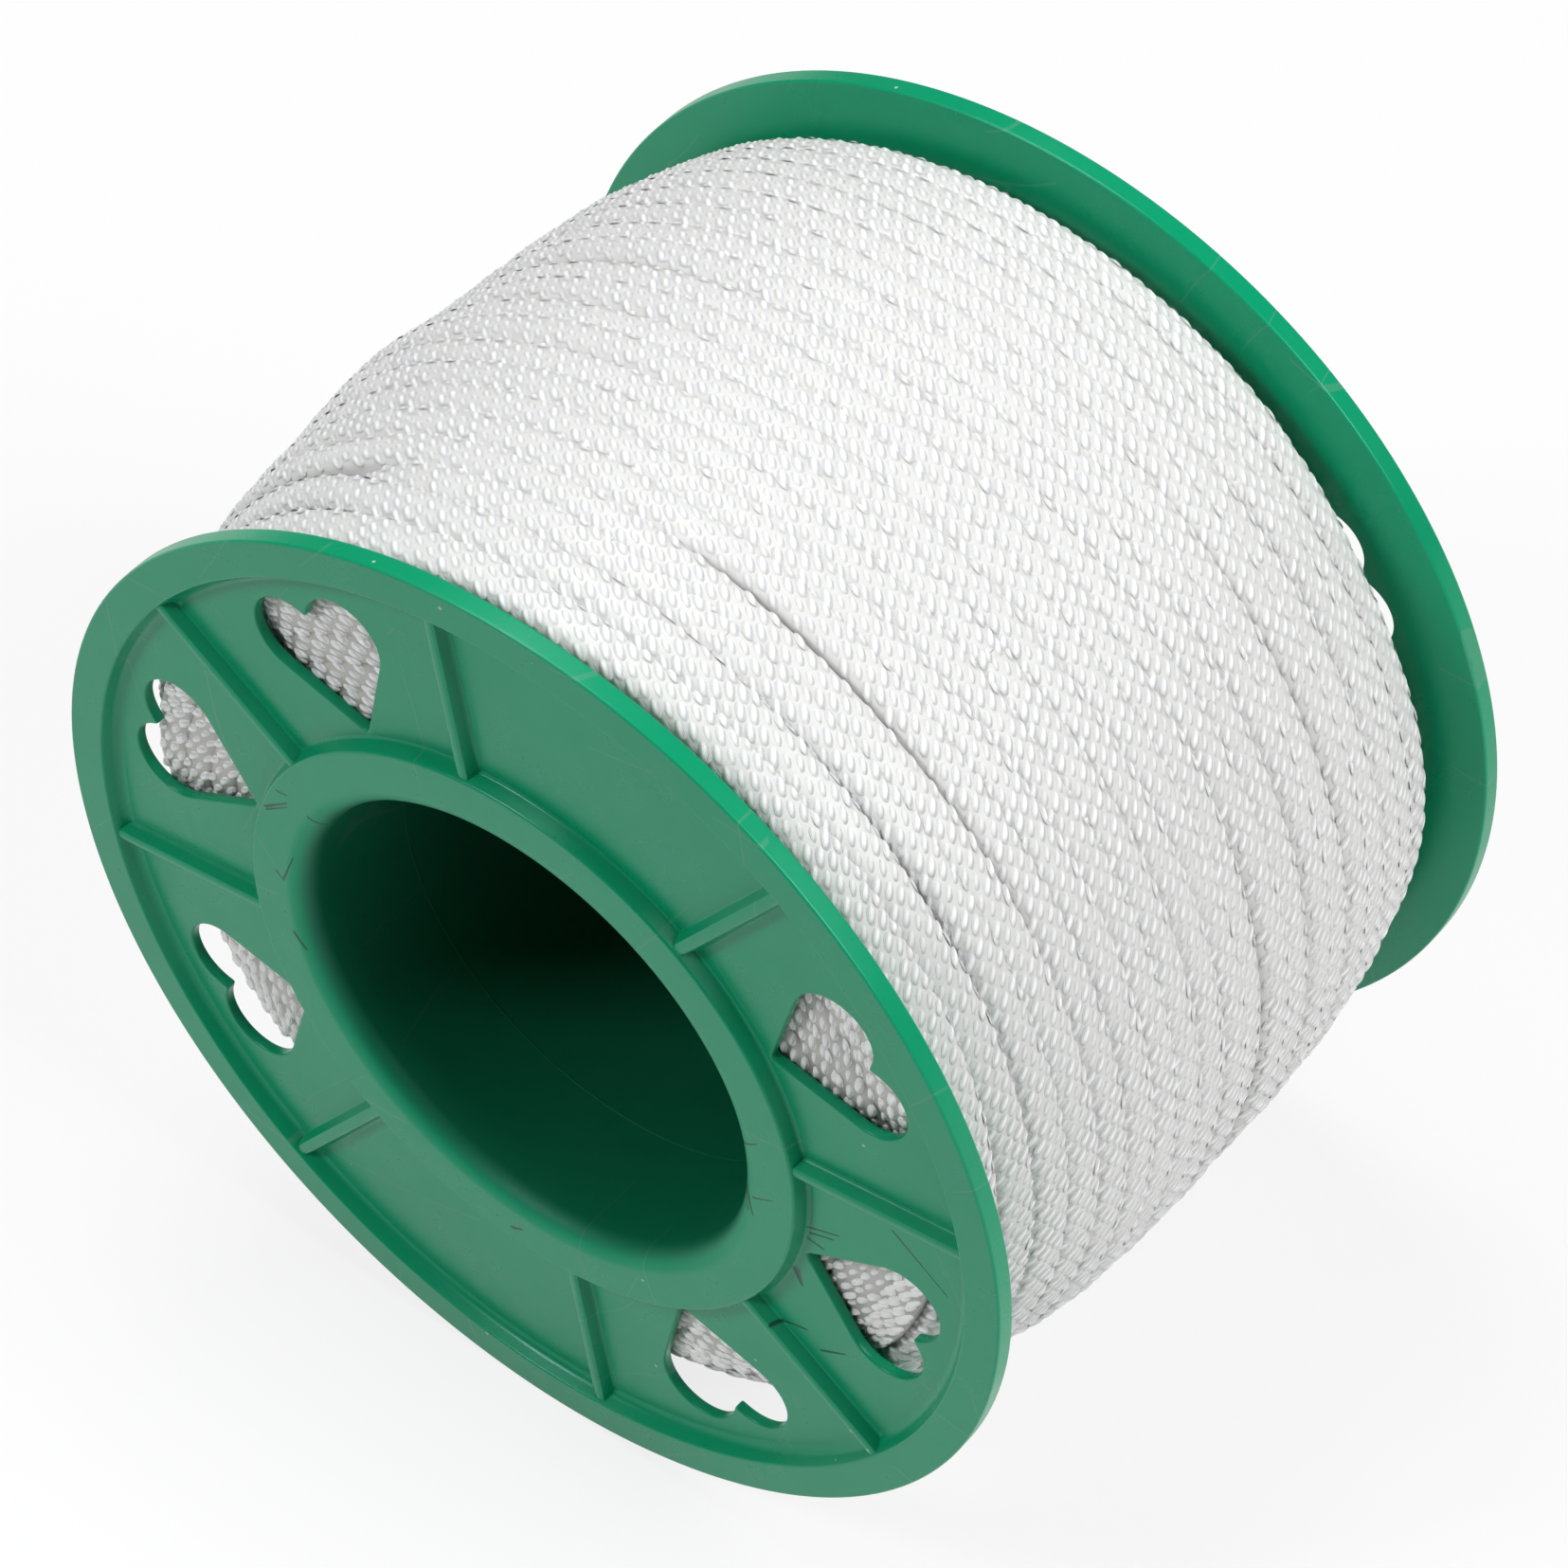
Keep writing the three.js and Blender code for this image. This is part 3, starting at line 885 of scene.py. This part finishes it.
@dataclass
class Braid:
    """The line itself: a solid braid whose floats lie slantwise in columns round a core."""

    height: float = 0.0031
    width: float = 0.00430
    squareness: float = 0.62
    period: float = 0.00262
    columns: int = 18
    slant: float = 26.0
    unevenness: float = 3.5
    sink: float = 0.00004
    reach: float = 0.158
    side_reach: float = 0.34
    float_length: float = 0.00182
    float_width: float = 0.00088
    float_height: float = 0.00017
    float_foot: float = 0.00005
    seed: int = 7

    def stitch(self) -> Piece:
        """One float: a rice-shaped hump along X, its ends and sides sunk into the line."""
        sections, sides = (-0.8, -0.42, 0.0, 0.42, 0.8), (-1.0, -0.6, 0.0, 0.6, 1.0)
        half, foot, n = self.float_length / 2, self.float_foot, len(sides)
        points = [(-half, 0.0, -foot)]
        maps = [(0.0, 0.5)]
        for u in sections:
            wide = self.float_width / 2 * (1 - abs(u) ** 2.2) ** 0.5
            high = self.float_height * (1 - u * u)
            for v in sides:
                points.append((u * half, v * wide, (high + foot) * (1 - v * v) ** 1.4 - foot))
                maps.append(((u + 1) / 2, (v + 1) / 2))
        points.append((half, 0.0, -foot))
        maps.append((1.0, 0.5))
        faces: list[tuple[int, ...]] = [(0, j + 2, j + 1) for j in range(n - 1)]
        for i in range(len(sections) - 1):
            faces += [(a, a + 1, a + n + 1, a + n) for a in range(1 + i * n, i * n + n)]
        last = 1 + (len(sections) - 1) * n
        faces += [(last + j, last + j + 1, len(points) - 1) for j in range(n - 1)]
        made = mesh_object("stitch", points, faces)
        layer = made.data.uv_layers.new(name="UVMap")
        for loop in made.data.loops:
            layer.data[loop.index].uv = maps[loop.vertex_index]
        made.data.shade_smooth()
        if made.data.polygons[n + 1].normal.z < 0:
            made.data.flip_normals()
        return made

    @staticmethod
    def tree() -> Tree:
        """Sets the floats along a route, in columns round it, over a plain core."""
        g, start = Graph.group("braided line", "Geometry", "Geometry", {
            "Geometry": "Geometry", "Stitch": "Object", "Period": 0.0, "Half Height": 0.0,
            "Half Width": 0.0, "Squareness": 0.0, "Slant": 0.0, "Unevenness": 0.0, "Reach": 0.0,
            "Sink": 0.0, "Columns": 18, "Seed": 0, "Material": "Material"})

        def stored(geometry: Socket, name: str, value: Any, kind: str = "FLOAT") -> Socket:
            """The geometry with a named attribute on its points."""
            made = g.node("GeometryNodeStoreNamedAttribute", {"Geometry": geometry, "Name": name},
                          data_type=kind, domain="POINT")
            g.set(g.live(made.inputs, "Value")[0], value)
            return made.outputs[0]

        def named(name: str, kind: str = "FLOAT") -> Socket:
            """A named attribute's value."""
            made = g.node("GeometryNodeInputNamedAttribute", {"Name": name}, data_type=kind)
            return g.live(made.outputs, "Attribute")[0]

        def squared(value: Socket) -> Socket:
            """A sine or cosine pushed outwards, so that the round becomes a little square."""
            return g.times(g.math("SIGN", value), g.math("POWER", g.size(value), start["Squareness"]))

        def resampled(curve: Socket, by: str, value: Any) -> Socket:
            """A curve with its points anew, by their Count or by the Length between them."""
            made = g.node("GeometryNodeResampleCurve", {"Curve": curve}, mode=by.upper())
            g.set(g.live(made.inputs, by)[0], value)
            return made.outputs[0]

        def blend(first: Socket, much: Socket, second: Socket, more: Socket) -> Socket:
            """The sum of two vectors, each times a number."""
            return g.vector("ADD", g.scaled(first, much), g.scaled(second, more))

        # The line's section, a circle pressed a little square.
        circle = g.out("GeometryNodeCurvePrimitiveCircle", {"Resolution": 96, "Radius": 1.0})
        spot = g.parts(g.out("GeometryNodeInputPosition"))
        section = g.out("GeometryNodeSetPosition", {
            "Geometry": circle,
            "Position": g.out("ShaderNodeCombineXYZ", {
                0: g.times(squared(spot[0]), start["Half Width"]),
                1: g.times(squared(spot[1]), start["Half Height"]),
            }),
        })

        # A point for each float: its row along the route and its lane round the section.
        route = g.out("GeometryNodeMeshToCurve", {0: start["Geometry"]})
        even = resampled(route, "Length", g.math("DIVIDE", start["Period"], 3.0))
        spots = g.node("GeometryNodeCurveToPoints", {"Curve": even}, mode="EVALUATED")
        cloud = stored(spots.outputs["Points"], "row", g.out("GeometryNodeInputIndex"))
        cloud = stored(cloud, "along", spots.outputs["Tangent"], "FLOAT_VECTOR")
        copies = g.node("GeometryNodeDuplicateElements", {
            "Geometry": cloud, "Amount": g.math("DIVIDE", start["Columns"], 3.0),
        }, domain="POINT")
        cloud = stored(copies.outputs[0], "lane", copies.outputs["Duplicate Index"])

        # Where each float lies and which way it faces.
        step = g.math("FLOORED_MODULO", named("row"), 3.0)
        column = g.minus(g.math("MULTIPLY_ADD", named("lane"), 3.0, 2.0), step)
        middle = g.math("DIVIDE", g.minus(start["Columns"], 1.0), 2.0)
        turn = g.math("DIVIDE", g.minus(column, middle), start["Columns"])
        ring = g.node("GeometryNodeSampleCurve", {
            "Curves": section, "Factor": g.math("FLOORED_MODULO", g.minus(0.25, turn), 1.0),
        }, mode="FACTOR")
        at, ahead = (g.parts(ring.outputs[name]) for name in ("Position", "Tangent"))
        along = g.vector("NORMALIZE", named("along", "FLOAT_VECTOR"))
        facing = named("outward", "FLOAT_VECTOR")
        slip = g.scaled(along, g.vector("DOT_PRODUCT", facing, along))
        up = g.vector("NORMALIZE", g.vector("SUBTRACT", facing, slip))
        aside = g.vector("CROSS_PRODUCT", along, up)
        normal = g.vector("SUBTRACT", g.scaled(aside, ahead[1]), g.scaled(up, ahead[0]))
        around = g.scaled(blend(aside, ahead[0], up, ahead[1]), -1.0)
        jitter = g.node("FunctionNodeRandomValue", {"Seed": start["Seed"]}, data_type="FLOAT")
        for socket, value in zip(g.live(jitter.inputs, "VALUE"), (-1.0, 1.0)):
            g.set(socket, value)
        uneven = g.live(jitter.outputs, "VALUE")[0]
        lean = g.math("MULTIPLY_ADD", uneven, start["Unevenness"], start["Slant"])
        leant = blend(along, g.math("COSINE", lean), around, g.math("SINE", lean))
        sunk = g.scaled(normal, g.times(uneven, start["Sink"]))
        shift = g.vector("ADD", blend(aside, at[0], up, at[1]), sunk)
        cloud = stored(cloud, "shade", g.math("MULTIPLY_ADD", uneven, 0.5, 0.5))
        cloud = stored(cloud, "turn", turn)
        cloud = stored(cloud, "normal_out", normal, "FLOAT_VECTOR")
        cloud = stored(cloud, "lying", leant, "FLOAT_VECTOR")
        placed = g.out("GeometryNodeSetPosition", {"Geometry": cloud, "Offset": shift})

        # The floats themselves, on the side that can be seen.
        pose = g.out("FunctionNodeAxesToRotation", {
            "Primary Axis": named("normal_out", "FLOAT_VECTOR"),
            "Secondary Axis": named("lying", "FLOAT_VECTOR"),
        }, primary_axis="Z", secondary_axis="X")
        seen = g.node("FunctionNodeCompare", data_type="FLOAT", operation="LESS_THAN")
        for socket, value in zip(g.live(seen.inputs, "VALUE"), (g.size(named("turn")), start["Reach"])):
            g.set(socket, value)
        stitches = g.out("GeometryNodeInstanceOnPoints", {
            "Points": stored(placed, "raised", 1.0), "Selection": seen.outputs[0],
            "Instance": g.node("GeometryNodeObjectInfo", {"Object": start["Stitch"]}).outputs["Geometry"],
            "Rotation": pose, "Scale": g.math("MULTIPLY_ADD", named("shade"), 0.18, 0.91),
        })

        # The plain core below them.
        coarse = resampled(route, "Length", g.times(start["Period"], 0.55))
        sideways = g.vector("CROSS_PRODUCT", g.out("GeometryNodeInputTangent"),
                            named("outward", "FLOAT_VECTOR"))
        aimed = g.node("GeometryNodeSetCurveNormal", {"Curve": coarse}, mode="FREE")
        g.set(aimed.inputs["Normal"], sideways)
        core = g.out("GeometryNodeCurveToMesh", {
            "Curve": aimed.outputs[0], "Profile Curve": resampled(section, "Count", 20),
            "Fill Caps": True,
        })
        both = g.node("GeometryNodeJoinGeometry")
        for solid in (g.out("GeometryNodeSetShadeSmooth", {"Geometry": core}),
                      g.out("GeometryNodeRealizeInstances", {0: stitches})):
            g.set(both.inputs[0], solid)
        return g.dressed(both.outputs[0], start["Material"])

    def along(self, name: str, route: Route, tree: Tree, stitch: Piece, material: Finish,
              reach: float = 0.0) -> Piece:
        """Makes a stretch of line along a route.

        Args:
            name: the piece's name.
            route: the line's middle, and the way that its seen side faces, at each point.
            tree: the braid's tree.
            stitch: one float.
            material: its nylon.
            reach: how far round its section the floats go, as a share; 0 takes the usual one.

        Returns:
            The piece.
        """
        points, outward = route
        path = mesh_object(name, points, [], [(i, i + 1) for i in range(len(points) - 1)])
        layer = path.data.attributes.new("outward", "FLOAT_VECTOR", "POINT")
        layer.data.foreach_set("vector", np.asarray(outward, np.float32).ravel())
        piece = grown(path, tree, {
            "Stitch": stitch, "Period": self.period, "Squareness": self.squareness,
            "Half Height": self.height / 2 - self.float_height,
            "Half Width": self.width / 2 - self.float_height,
            "Slant": math.radians(self.slant), "Unevenness": math.radians(self.unevenness),
            "Reach": reach or self.reach, "Sink": self.sink,
            "Columns": self.columns, "Seed": self.seed, "Material": material,
        }, name)
        for spare in ("row", "lane", "turn", "along", "normal_out", "lying", "outward"):
            layer = piece.data.attributes.get(spare)
            if layer is not None:
                piece.data.attributes.remove(layer)
        return piece


@dataclass
class Winding:
    """The line as it is wound: its top layer, the layers' edges at both flanges and what is below."""

    braid: Braid = field(default_factory=Braid)
    loose: Braid = field(default_factory=lambda: Braid(
        columns=14, float_length=0.00176, float_width=0.00082, float_height=0.00032))
    barrel: float = 0.0283
    half_length: float = 0.0339
    middle_radius: float = 0.0515
    middle_swing: float = 0.00025
    full_side: float = 135.0
    near_radius: float = 0.0446
    near_swing: float = 0.0036
    near_full_side: float = 100.0
    near_power: float = 3.2
    far_radius: float = 0.0470
    far_power: float = 3.3
    dip_angle: float = 30.0
    dip_reach: float = 17.0
    dip_depth: float = 0.0012
    hump_place: Point = (-0.0045, 144.0)
    hump_reach: Point = (0.0068, 21.0)
    hump_height: float = 0.0010
    turns: float = 19.8
    start_angle: float = -95.0
    turn_points: int = 180
    tuck: float = 0.16
    play: float = 0.0001
    layer_pitch: float = 0.00295
    side_start: float = 70.0
    side_turn_points: int = 160
    side_out: float = 0.00025
    side_sag: float = 0.00015
    side_wander: float = 0.00009
    first_window: float = 31.5
    window_reach: float = 11.0
    window_swell: float = 0.0011
    wander: float = 0.00015
    bulge: float = 0.00008
    below_reach: float = 26.0
    below_points: int = 60
    below_drop: float = 0.9
    core_inset: float = 0.0036
    core_drop: float = 0.0010
    parts: int = 8
    gaps: tuple[Gap, ...] = (
        Gap(-0.0112, 97.0, 0.0005, 10.0),
        Gap(-0.0163, 87.0, 0.0008, 6.0),
        Gap(-0.0189, 82.0, 0.0004, 17.0),
        Gap(-0.0254, 88.0, 0.0004, 8.0),
        Gap(-0.0286, 87.0, 0.0005, 5.0),
        Gap(-0.0267, 42.0, 0.0003, 9.0),
        Gap(0.0259, 57.0, 0.0006, 5.0),
    )
    gap_fade: float = 0.9
    dives: tuple[Dive, ...] = (
        Dive(-0.02386, 121.0, 236.0, 0.0024, 0.0013),
        Dive(0.0014, -38.0, 31.0, 0.0004, 0.0, 16.0),
    )
    dive_fade: float = 1.1
    seed: int = 11

    @property
    def reach(self) -> float:
        """How far the end turns' middles lie from the spool's middle."""
        return self.half_length - self.braid.width / 2

    @property
    def pitch(self) -> float:
        """From one turn of the top layer to the next."""
        return 2 * self.reach / self.turns

    def outside(self, y: Array, angle: Array | float) -> Array:
        """The winding's outside radius: flat in the middle and rounded off to the flanges.

        Args:
            y: where, along the spool's axis.
            angle: where, round it; the winding is slack at its near end, most of all underneath.

        Returns:
            The radius at each place.
        """
        share = np.minimum(1.0, np.abs(y) / self.half_length)
        degrees = np.degrees(angle)
        near = self.near_radius + self.near_swing * np.cos(angle - math.radians(self.near_full_side))
        middle = self.middle_radius + self.middle_swing * np.cos(angle - math.radians(self.full_side))
        dip = np.exp(-(beside(degrees, self.dip_angle) / self.dip_reach) ** 2)
        far = self.far_radius - self.dip_depth * dip
        fall = np.where(y < 0, (middle - near) * share ** self.near_power,
                        (middle - far) * share ** self.far_power)
        hump = np.exp(-((y - self.hump_place[0]) / self.hump_reach[0]) ** 2
                      - (beside(degrees, self.hump_place[1]) / self.hump_reach[1]) ** 2)
        return middle - fall + self.hump_height * hump

    def drift(self, turns: Array, phase: float, amount: float) -> Array:
        """A slow seeded wander along the line, as a hand-fed winding has.

        Args:
            turns: how many turns have gone before each point.
            phase: tells one wander from another.
            amount: its size.

        Returns:
            The wander at each point.
        """
        pick = np.random.default_rng(self.seed + int(phase * 10))
        made = np.zeros_like(turns)
        for rate, share in ((0.27, 0.5), (0.61, 0.5), (1.47, 0.9), (2.55, 0.8), (4.4, 0.45)):
            made += share * np.sin(2 * math.pi * rate * turns + pick.uniform(0, 2 * math.pi))
        return amount * made

    def top_route(self) -> Route:
        """The top layer's route: turn beside turn, with its gaps and dives.

        Returns:
            The points and the outward direction at each.
        """
        turns = np.linspace(0, self.turns, int(self.turns * self.turn_points) + 1)
        angle = np.radians(self.start_angle) + 2 * math.pi * turns
        base = -self.reach + turns * self.pitch
        y = base + self.drift(turns, 1.0, self.wander)
        radius = self.outside(base, angle) - self.braid.height / 2 + self.drift(turns, 2.0, self.bulge)
        degrees = np.degrees(angle)
        for gap in self.gaps:
            weight = np.exp(-(beside(degrees, gap.angle) / gap.reach) ** 2)
            apart = (base - gap.y) / self.pitch
            push = np.exp(-np.maximum(0, np.abs(apart) - 0.5) / self.gap_fade)
            y = y + np.sign(apart) * gap.opening / 2 * push * weight
        for dive in self.dives:
            middle, half = (dive.start + dive.stop) / 2, (dive.stop - dive.start) / 2
            away = np.abs(beside(degrees, middle))
            weight = 1 / (1 + np.exp((away - half) / (dive.ramp / 4)))
            apart = (base - dive.y) / self.pitch
            own = np.abs(apart) < 0.5
            radius = radius - dive.depth * weight * own
            close = np.exp(-np.maximum(0, np.abs(apart) - 1) / self.dive_fade)
            y = y - np.where(own, 0, np.sign(apart)) * dive.closing * close * weight
        limit = self.reach + self.play
        for edge in (turns, self.turns - turns):
            radius = radius - self.layer_pitch * np.clip(1 - edge / self.tuck, 0, 1) ** 2
        outward = outwards(angle)
        route = outward * radius[:, None]
        route[:, 1] = np.clip(y, -limit, limit)
        step = 0.0005
        outward[:, 1] = (self.outside(base - step, angle) - self.outside(base + step, angle)) / (2 * step)
        return route, outward / np.linalg.norm(outward, axis=1)[:, None]

    def side_route(self, end: End) -> Route:
        """The layers' edges against a flange, from the barrel out, as the windows show them.

        Args:
            end: which flange.

        Returns:
            The points and the outward direction at each.
        """
        inner = self.barrel + self.braid.height / 2
        y = end.value * self.reach
        below = self.braid.height / 2 + self.layer_pitch
        full = self.outside(np.array([y]), math.radians(self.near_full_side))[0]
        turns_total = (float(full) - below - inner) / self.layer_pitch + 1
        turns = np.linspace(0, turns_total, int(turns_total * self.side_turn_points))
        angle = math.radians(self.side_start) + 2 * math.pi * turns
        outer = self.outside(np.full_like(turns, y), angle) - below
        radius = np.minimum(inner + turns * self.layer_pitch, outer)
        radius = radius + self.drift(turns, 3.0 + end.value, self.side_wander)
        route = outwards(angle) * radius[:, None]
        off_window = beside(np.degrees(angle), self.first_window, 45.0)
        swell = self.window_swell * np.exp(-(off_window / self.window_reach) ** 6)
        sag = np.abs(self.drift(turns, 5.0 + end.value, self.side_sag))
        route[:, 1] = end.value * (self.reach + self.side_out - sag + swell)
        return route, np.tile([0.0, float(end.value), 0.0], (len(turns), 1))

    def below_routes(self) -> Iterable[Route]:
        """Short arcs of the layer below, where a gap or a dive lets it show.

        Returns:
            The points and the outward direction of each arc.
        """
        places = [(g.y, g.angle) for g in self.gaps] + [(self.dives[0].y, self.dives[0].start - 4)]
        for y, angle in places:
            for side in (-0.5, 0.5):
                turn = np.radians(np.linspace(angle - self.below_reach, angle + self.below_reach,
                                              self.below_points))
                at = np.full_like(turn, y + side * self.pitch)
                outward = outwards(turn)
                radius = (self.outside(at, turn) - self.braid.height / 2
                          - self.layer_pitch * self.below_drop)
                route = outward * radius[:, None]
                route[:, 1] = at
                yield route, outward

    def inner_routes(self) -> Iterable[tuple[str, Route]]:
        """The stretches that show of the inner layers, each with its piece's name."""
        for end in End:
            route, outward = self.side_route(end)
            half = len(route) * 6 // 10
            for number, run in enumerate((slice(0, half + 1), slice(half, None)), 1):
                yield f"line_side_{end.name.lower()}_{number}", (route[run], outward[run])
        for number, arc in enumerate(self.below_routes(), 1):
            yield f"line_below_{number}", arc

    def core(self, material: Finish) -> Piece:
        """The unseen layers as one body: it closes the view between the turns.

        Args:
            material: its nylon.

        Returns:
            The piece.
        """
        half = self.half_length - self.core_inset
        y = np.linspace(-half, half, 41)
        slack = math.radians(self.near_full_side + 180)
        radius = self.outside(y * self.half_length / half, slack) - self.braid.height - self.core_drop
        profile = [(self.barrel, half), (self.barrel, -half), *zip(radius.tolist(), y.tolist())]
        piece = lathed("line_core_layers", profile, 160)
        piece.data.materials.append(material)
        return smoothed(piece, 50)

    def build(self, tree: Tree, pressed: Finish, material: Finish) -> None:
        """Builds every piece of the winding in place.

        Args:
            tree: the braid's tree.
            pressed: the nylon of the top layer.
            material: the nylon of the layers' edges and of what is below, its floats painted lighter and
                the rest painted dark.
        """
        stitch = self.braid.stitch()
        route, outward = self.top_route()
        marks = np.linspace(0, len(route) - 1, self.parts + 1).astype(int)
        for number, (first, last) in enumerate(zip(marks[:-1], marks[1:]), 1):
            run = slice(first, last + 1)
            reach = self.braid.side_reach if number in (1, self.parts) else self.braid.reach
            piece = self.braid.along(f"line_top_turns_{number}", (route[run], outward[run]), tree,
                                     stitch, pressed, reach)
            finished(piece, "line_outer_layer", slot="white_line")
        bpy.data.objects.remove(stitch)
        stitch = self.loose.stitch()
        for name, stretch in self.inner_routes():
            piece = self.loose.along(name, stretch, tree, stitch, material)
            finished(piece, "line_inner_layers", slot="white_line")
        finished(self.core(material), "line_inner_layers", slot="white_line")
        bpy.data.objects.remove(stitch)


# ---- Stage ---------------------------------------------------------------------------------------


@dataclass
class Stage:
    """The pale floor, the white surroundings, the lamps and the camera."""

    floor_level: float = -0.0520
    floor_size: float = 6.0
    ambient: float = 0.065
    whiteness: float = 0.8
    camera_at: Place = (0.21252, -0.26955, 0.39004)
    camera_looks: Place = (-0.40877, 0.51909, -0.75064)
    lens: float = 133.03
    sensor: float = 36.0

    def seen_rays(self, g: Graph) -> Socket:
        """1 for the rays of the camera, of reflections and through what is clear, else 0."""
        rays = g.node("ShaderNodeLightPath").outputs
        return g.strongest(rays[f"Is {kind} Ray"] for kind in ("Camera", "Glossy", "Transmission"))

    def surroundings(self) -> None:
        """A dim even room round the table, so that the lamps and the floor give the light."""
        world = bpy.data.worlds.new("dim room")
        world.use_nodes = True
        bpy.context.scene.world = world
        Graph(world.node_tree).fill(world.node_tree.nodes["Background"], {
            "Color": (1.0, 1.0, 1.0, 1.0), "Strength": self.ambient})

    def floor(self) -> None:
        """A plain pale floor that keeps the object's shadow."""
        half, z = self.floor_size / 2, self.floor_level
        corners = [(-half, -half, z), (half, -half, z), (half, half, z), (-half, half, z)]
        plane = mesh_object("floor", corners, [(0, 1, 2, 3)])
        made, g, shader = blank_material("pale floor")
        g.tree.nodes.remove(shader)
        both = g.out("ShaderNodeMixShader", {
            0: g.times(self.seen_rays(g), self.whiteness),
            1: g.out("ShaderNodeBsdfDiffuse", {"Color": (0.80, 0.80, 0.80, 1.0)}),
            2: g.out("ShaderNodeEmission", {"Strength": 1.0}),
        })
        g.set(g.tree.nodes["Material Output"].inputs["Surface"], both)
        plane.data.materials.append(made)

    @staticmethod
    def lamp(name: str, at: Place, size: float, energy: float) -> None:
        """A square soft lamp that looks at the object.

        Args:
            name: its name.
            at: where it stands.
            size: the length of its side.
            energy: its power in watts.
        """
        data = bpy.data.lights.new(name, "AREA")
        data.shape = "SQUARE"
        data.size = size
        data.energy = energy
        made = linked(name, data)
        made.location = at
        made.rotation_euler = (-Vector(at)).to_track_quat("-Z", "Y").to_euler()

    def camera(self) -> None:
        """The camera at the photograph's place, with its field of view."""
        data = bpy.data.cameras.new("camera")
        data.lens = self.lens
        data.sensor_width = self.sensor
        data.clip_start, data.clip_end = 0.01, 50.0
        made = linked("camera", data)
        made.location = self.camera_at
        made.rotation_mode = "QUATERNION"
        made.rotation_quaternion = Vector(self.camera_looks).to_track_quat("-Z", "Y")
        bpy.context.scene.camera = made

    def build(self) -> None:
        """Puts everything round the object in place."""
        self.camera()
        self.surroundings()
        self.floor()
        self.lamp("overhead", (-0.26, 0.11, 0.79), 0.45, 4.1)
        self.lamp("side", (0.62, 0.08, 0.60), 0.4, 5.6)
        self.lamp("front", (-0.42, -0.62, 0.70), 0.24, 4.1)
        bpy.context.scene.view_settings.view_transform = "Standard"


def main() -> None:
    """Builds the spool, its winding and the stage, and reports each piece."""
    logging.basicConfig(level=logging.INFO, format="%(message)s")
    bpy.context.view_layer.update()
    Stage().build()
    effects = Effects()
    flange_plastic = GreenPlastic("green plastic", nicks=NICKS).material(effects)
    barrel_plastic = GreenPlastic("green plastic, barrel", dust=0.01, rubbed=0.2).material(effects)
    nylon = WhiteBraid("white braided nylon").material(effects)
    # The edges' copy of the nylon is painted light and shade: floats painted lighter, holes and plain
    # core painted dark.
    loose_nylon = WhiteBraid("white braided nylon, edges", hole_colour=(0.44, 0.43, 0.41, 1.0),
                             float_colour=(0.95, 0.95, 0.95, 1.0), glint_width=0.50, shine=0.8,
                             roughness=0.28).material(effects)
    moulding = Flange.moulding_tree()
    for end, node in ((End.NEAR, "near_flange"), (End.FAR, "far_flange")):
        finished(Flange(end).build(moulding, flange_plastic), node, slot="green_plastic")
    finished(Barrel().build(barrel_plastic), "barrel", slot="green_plastic")
    Winding().build(Braid.tree(), nylon, loose_nylon)


if __name__ == "__main__":
    main()
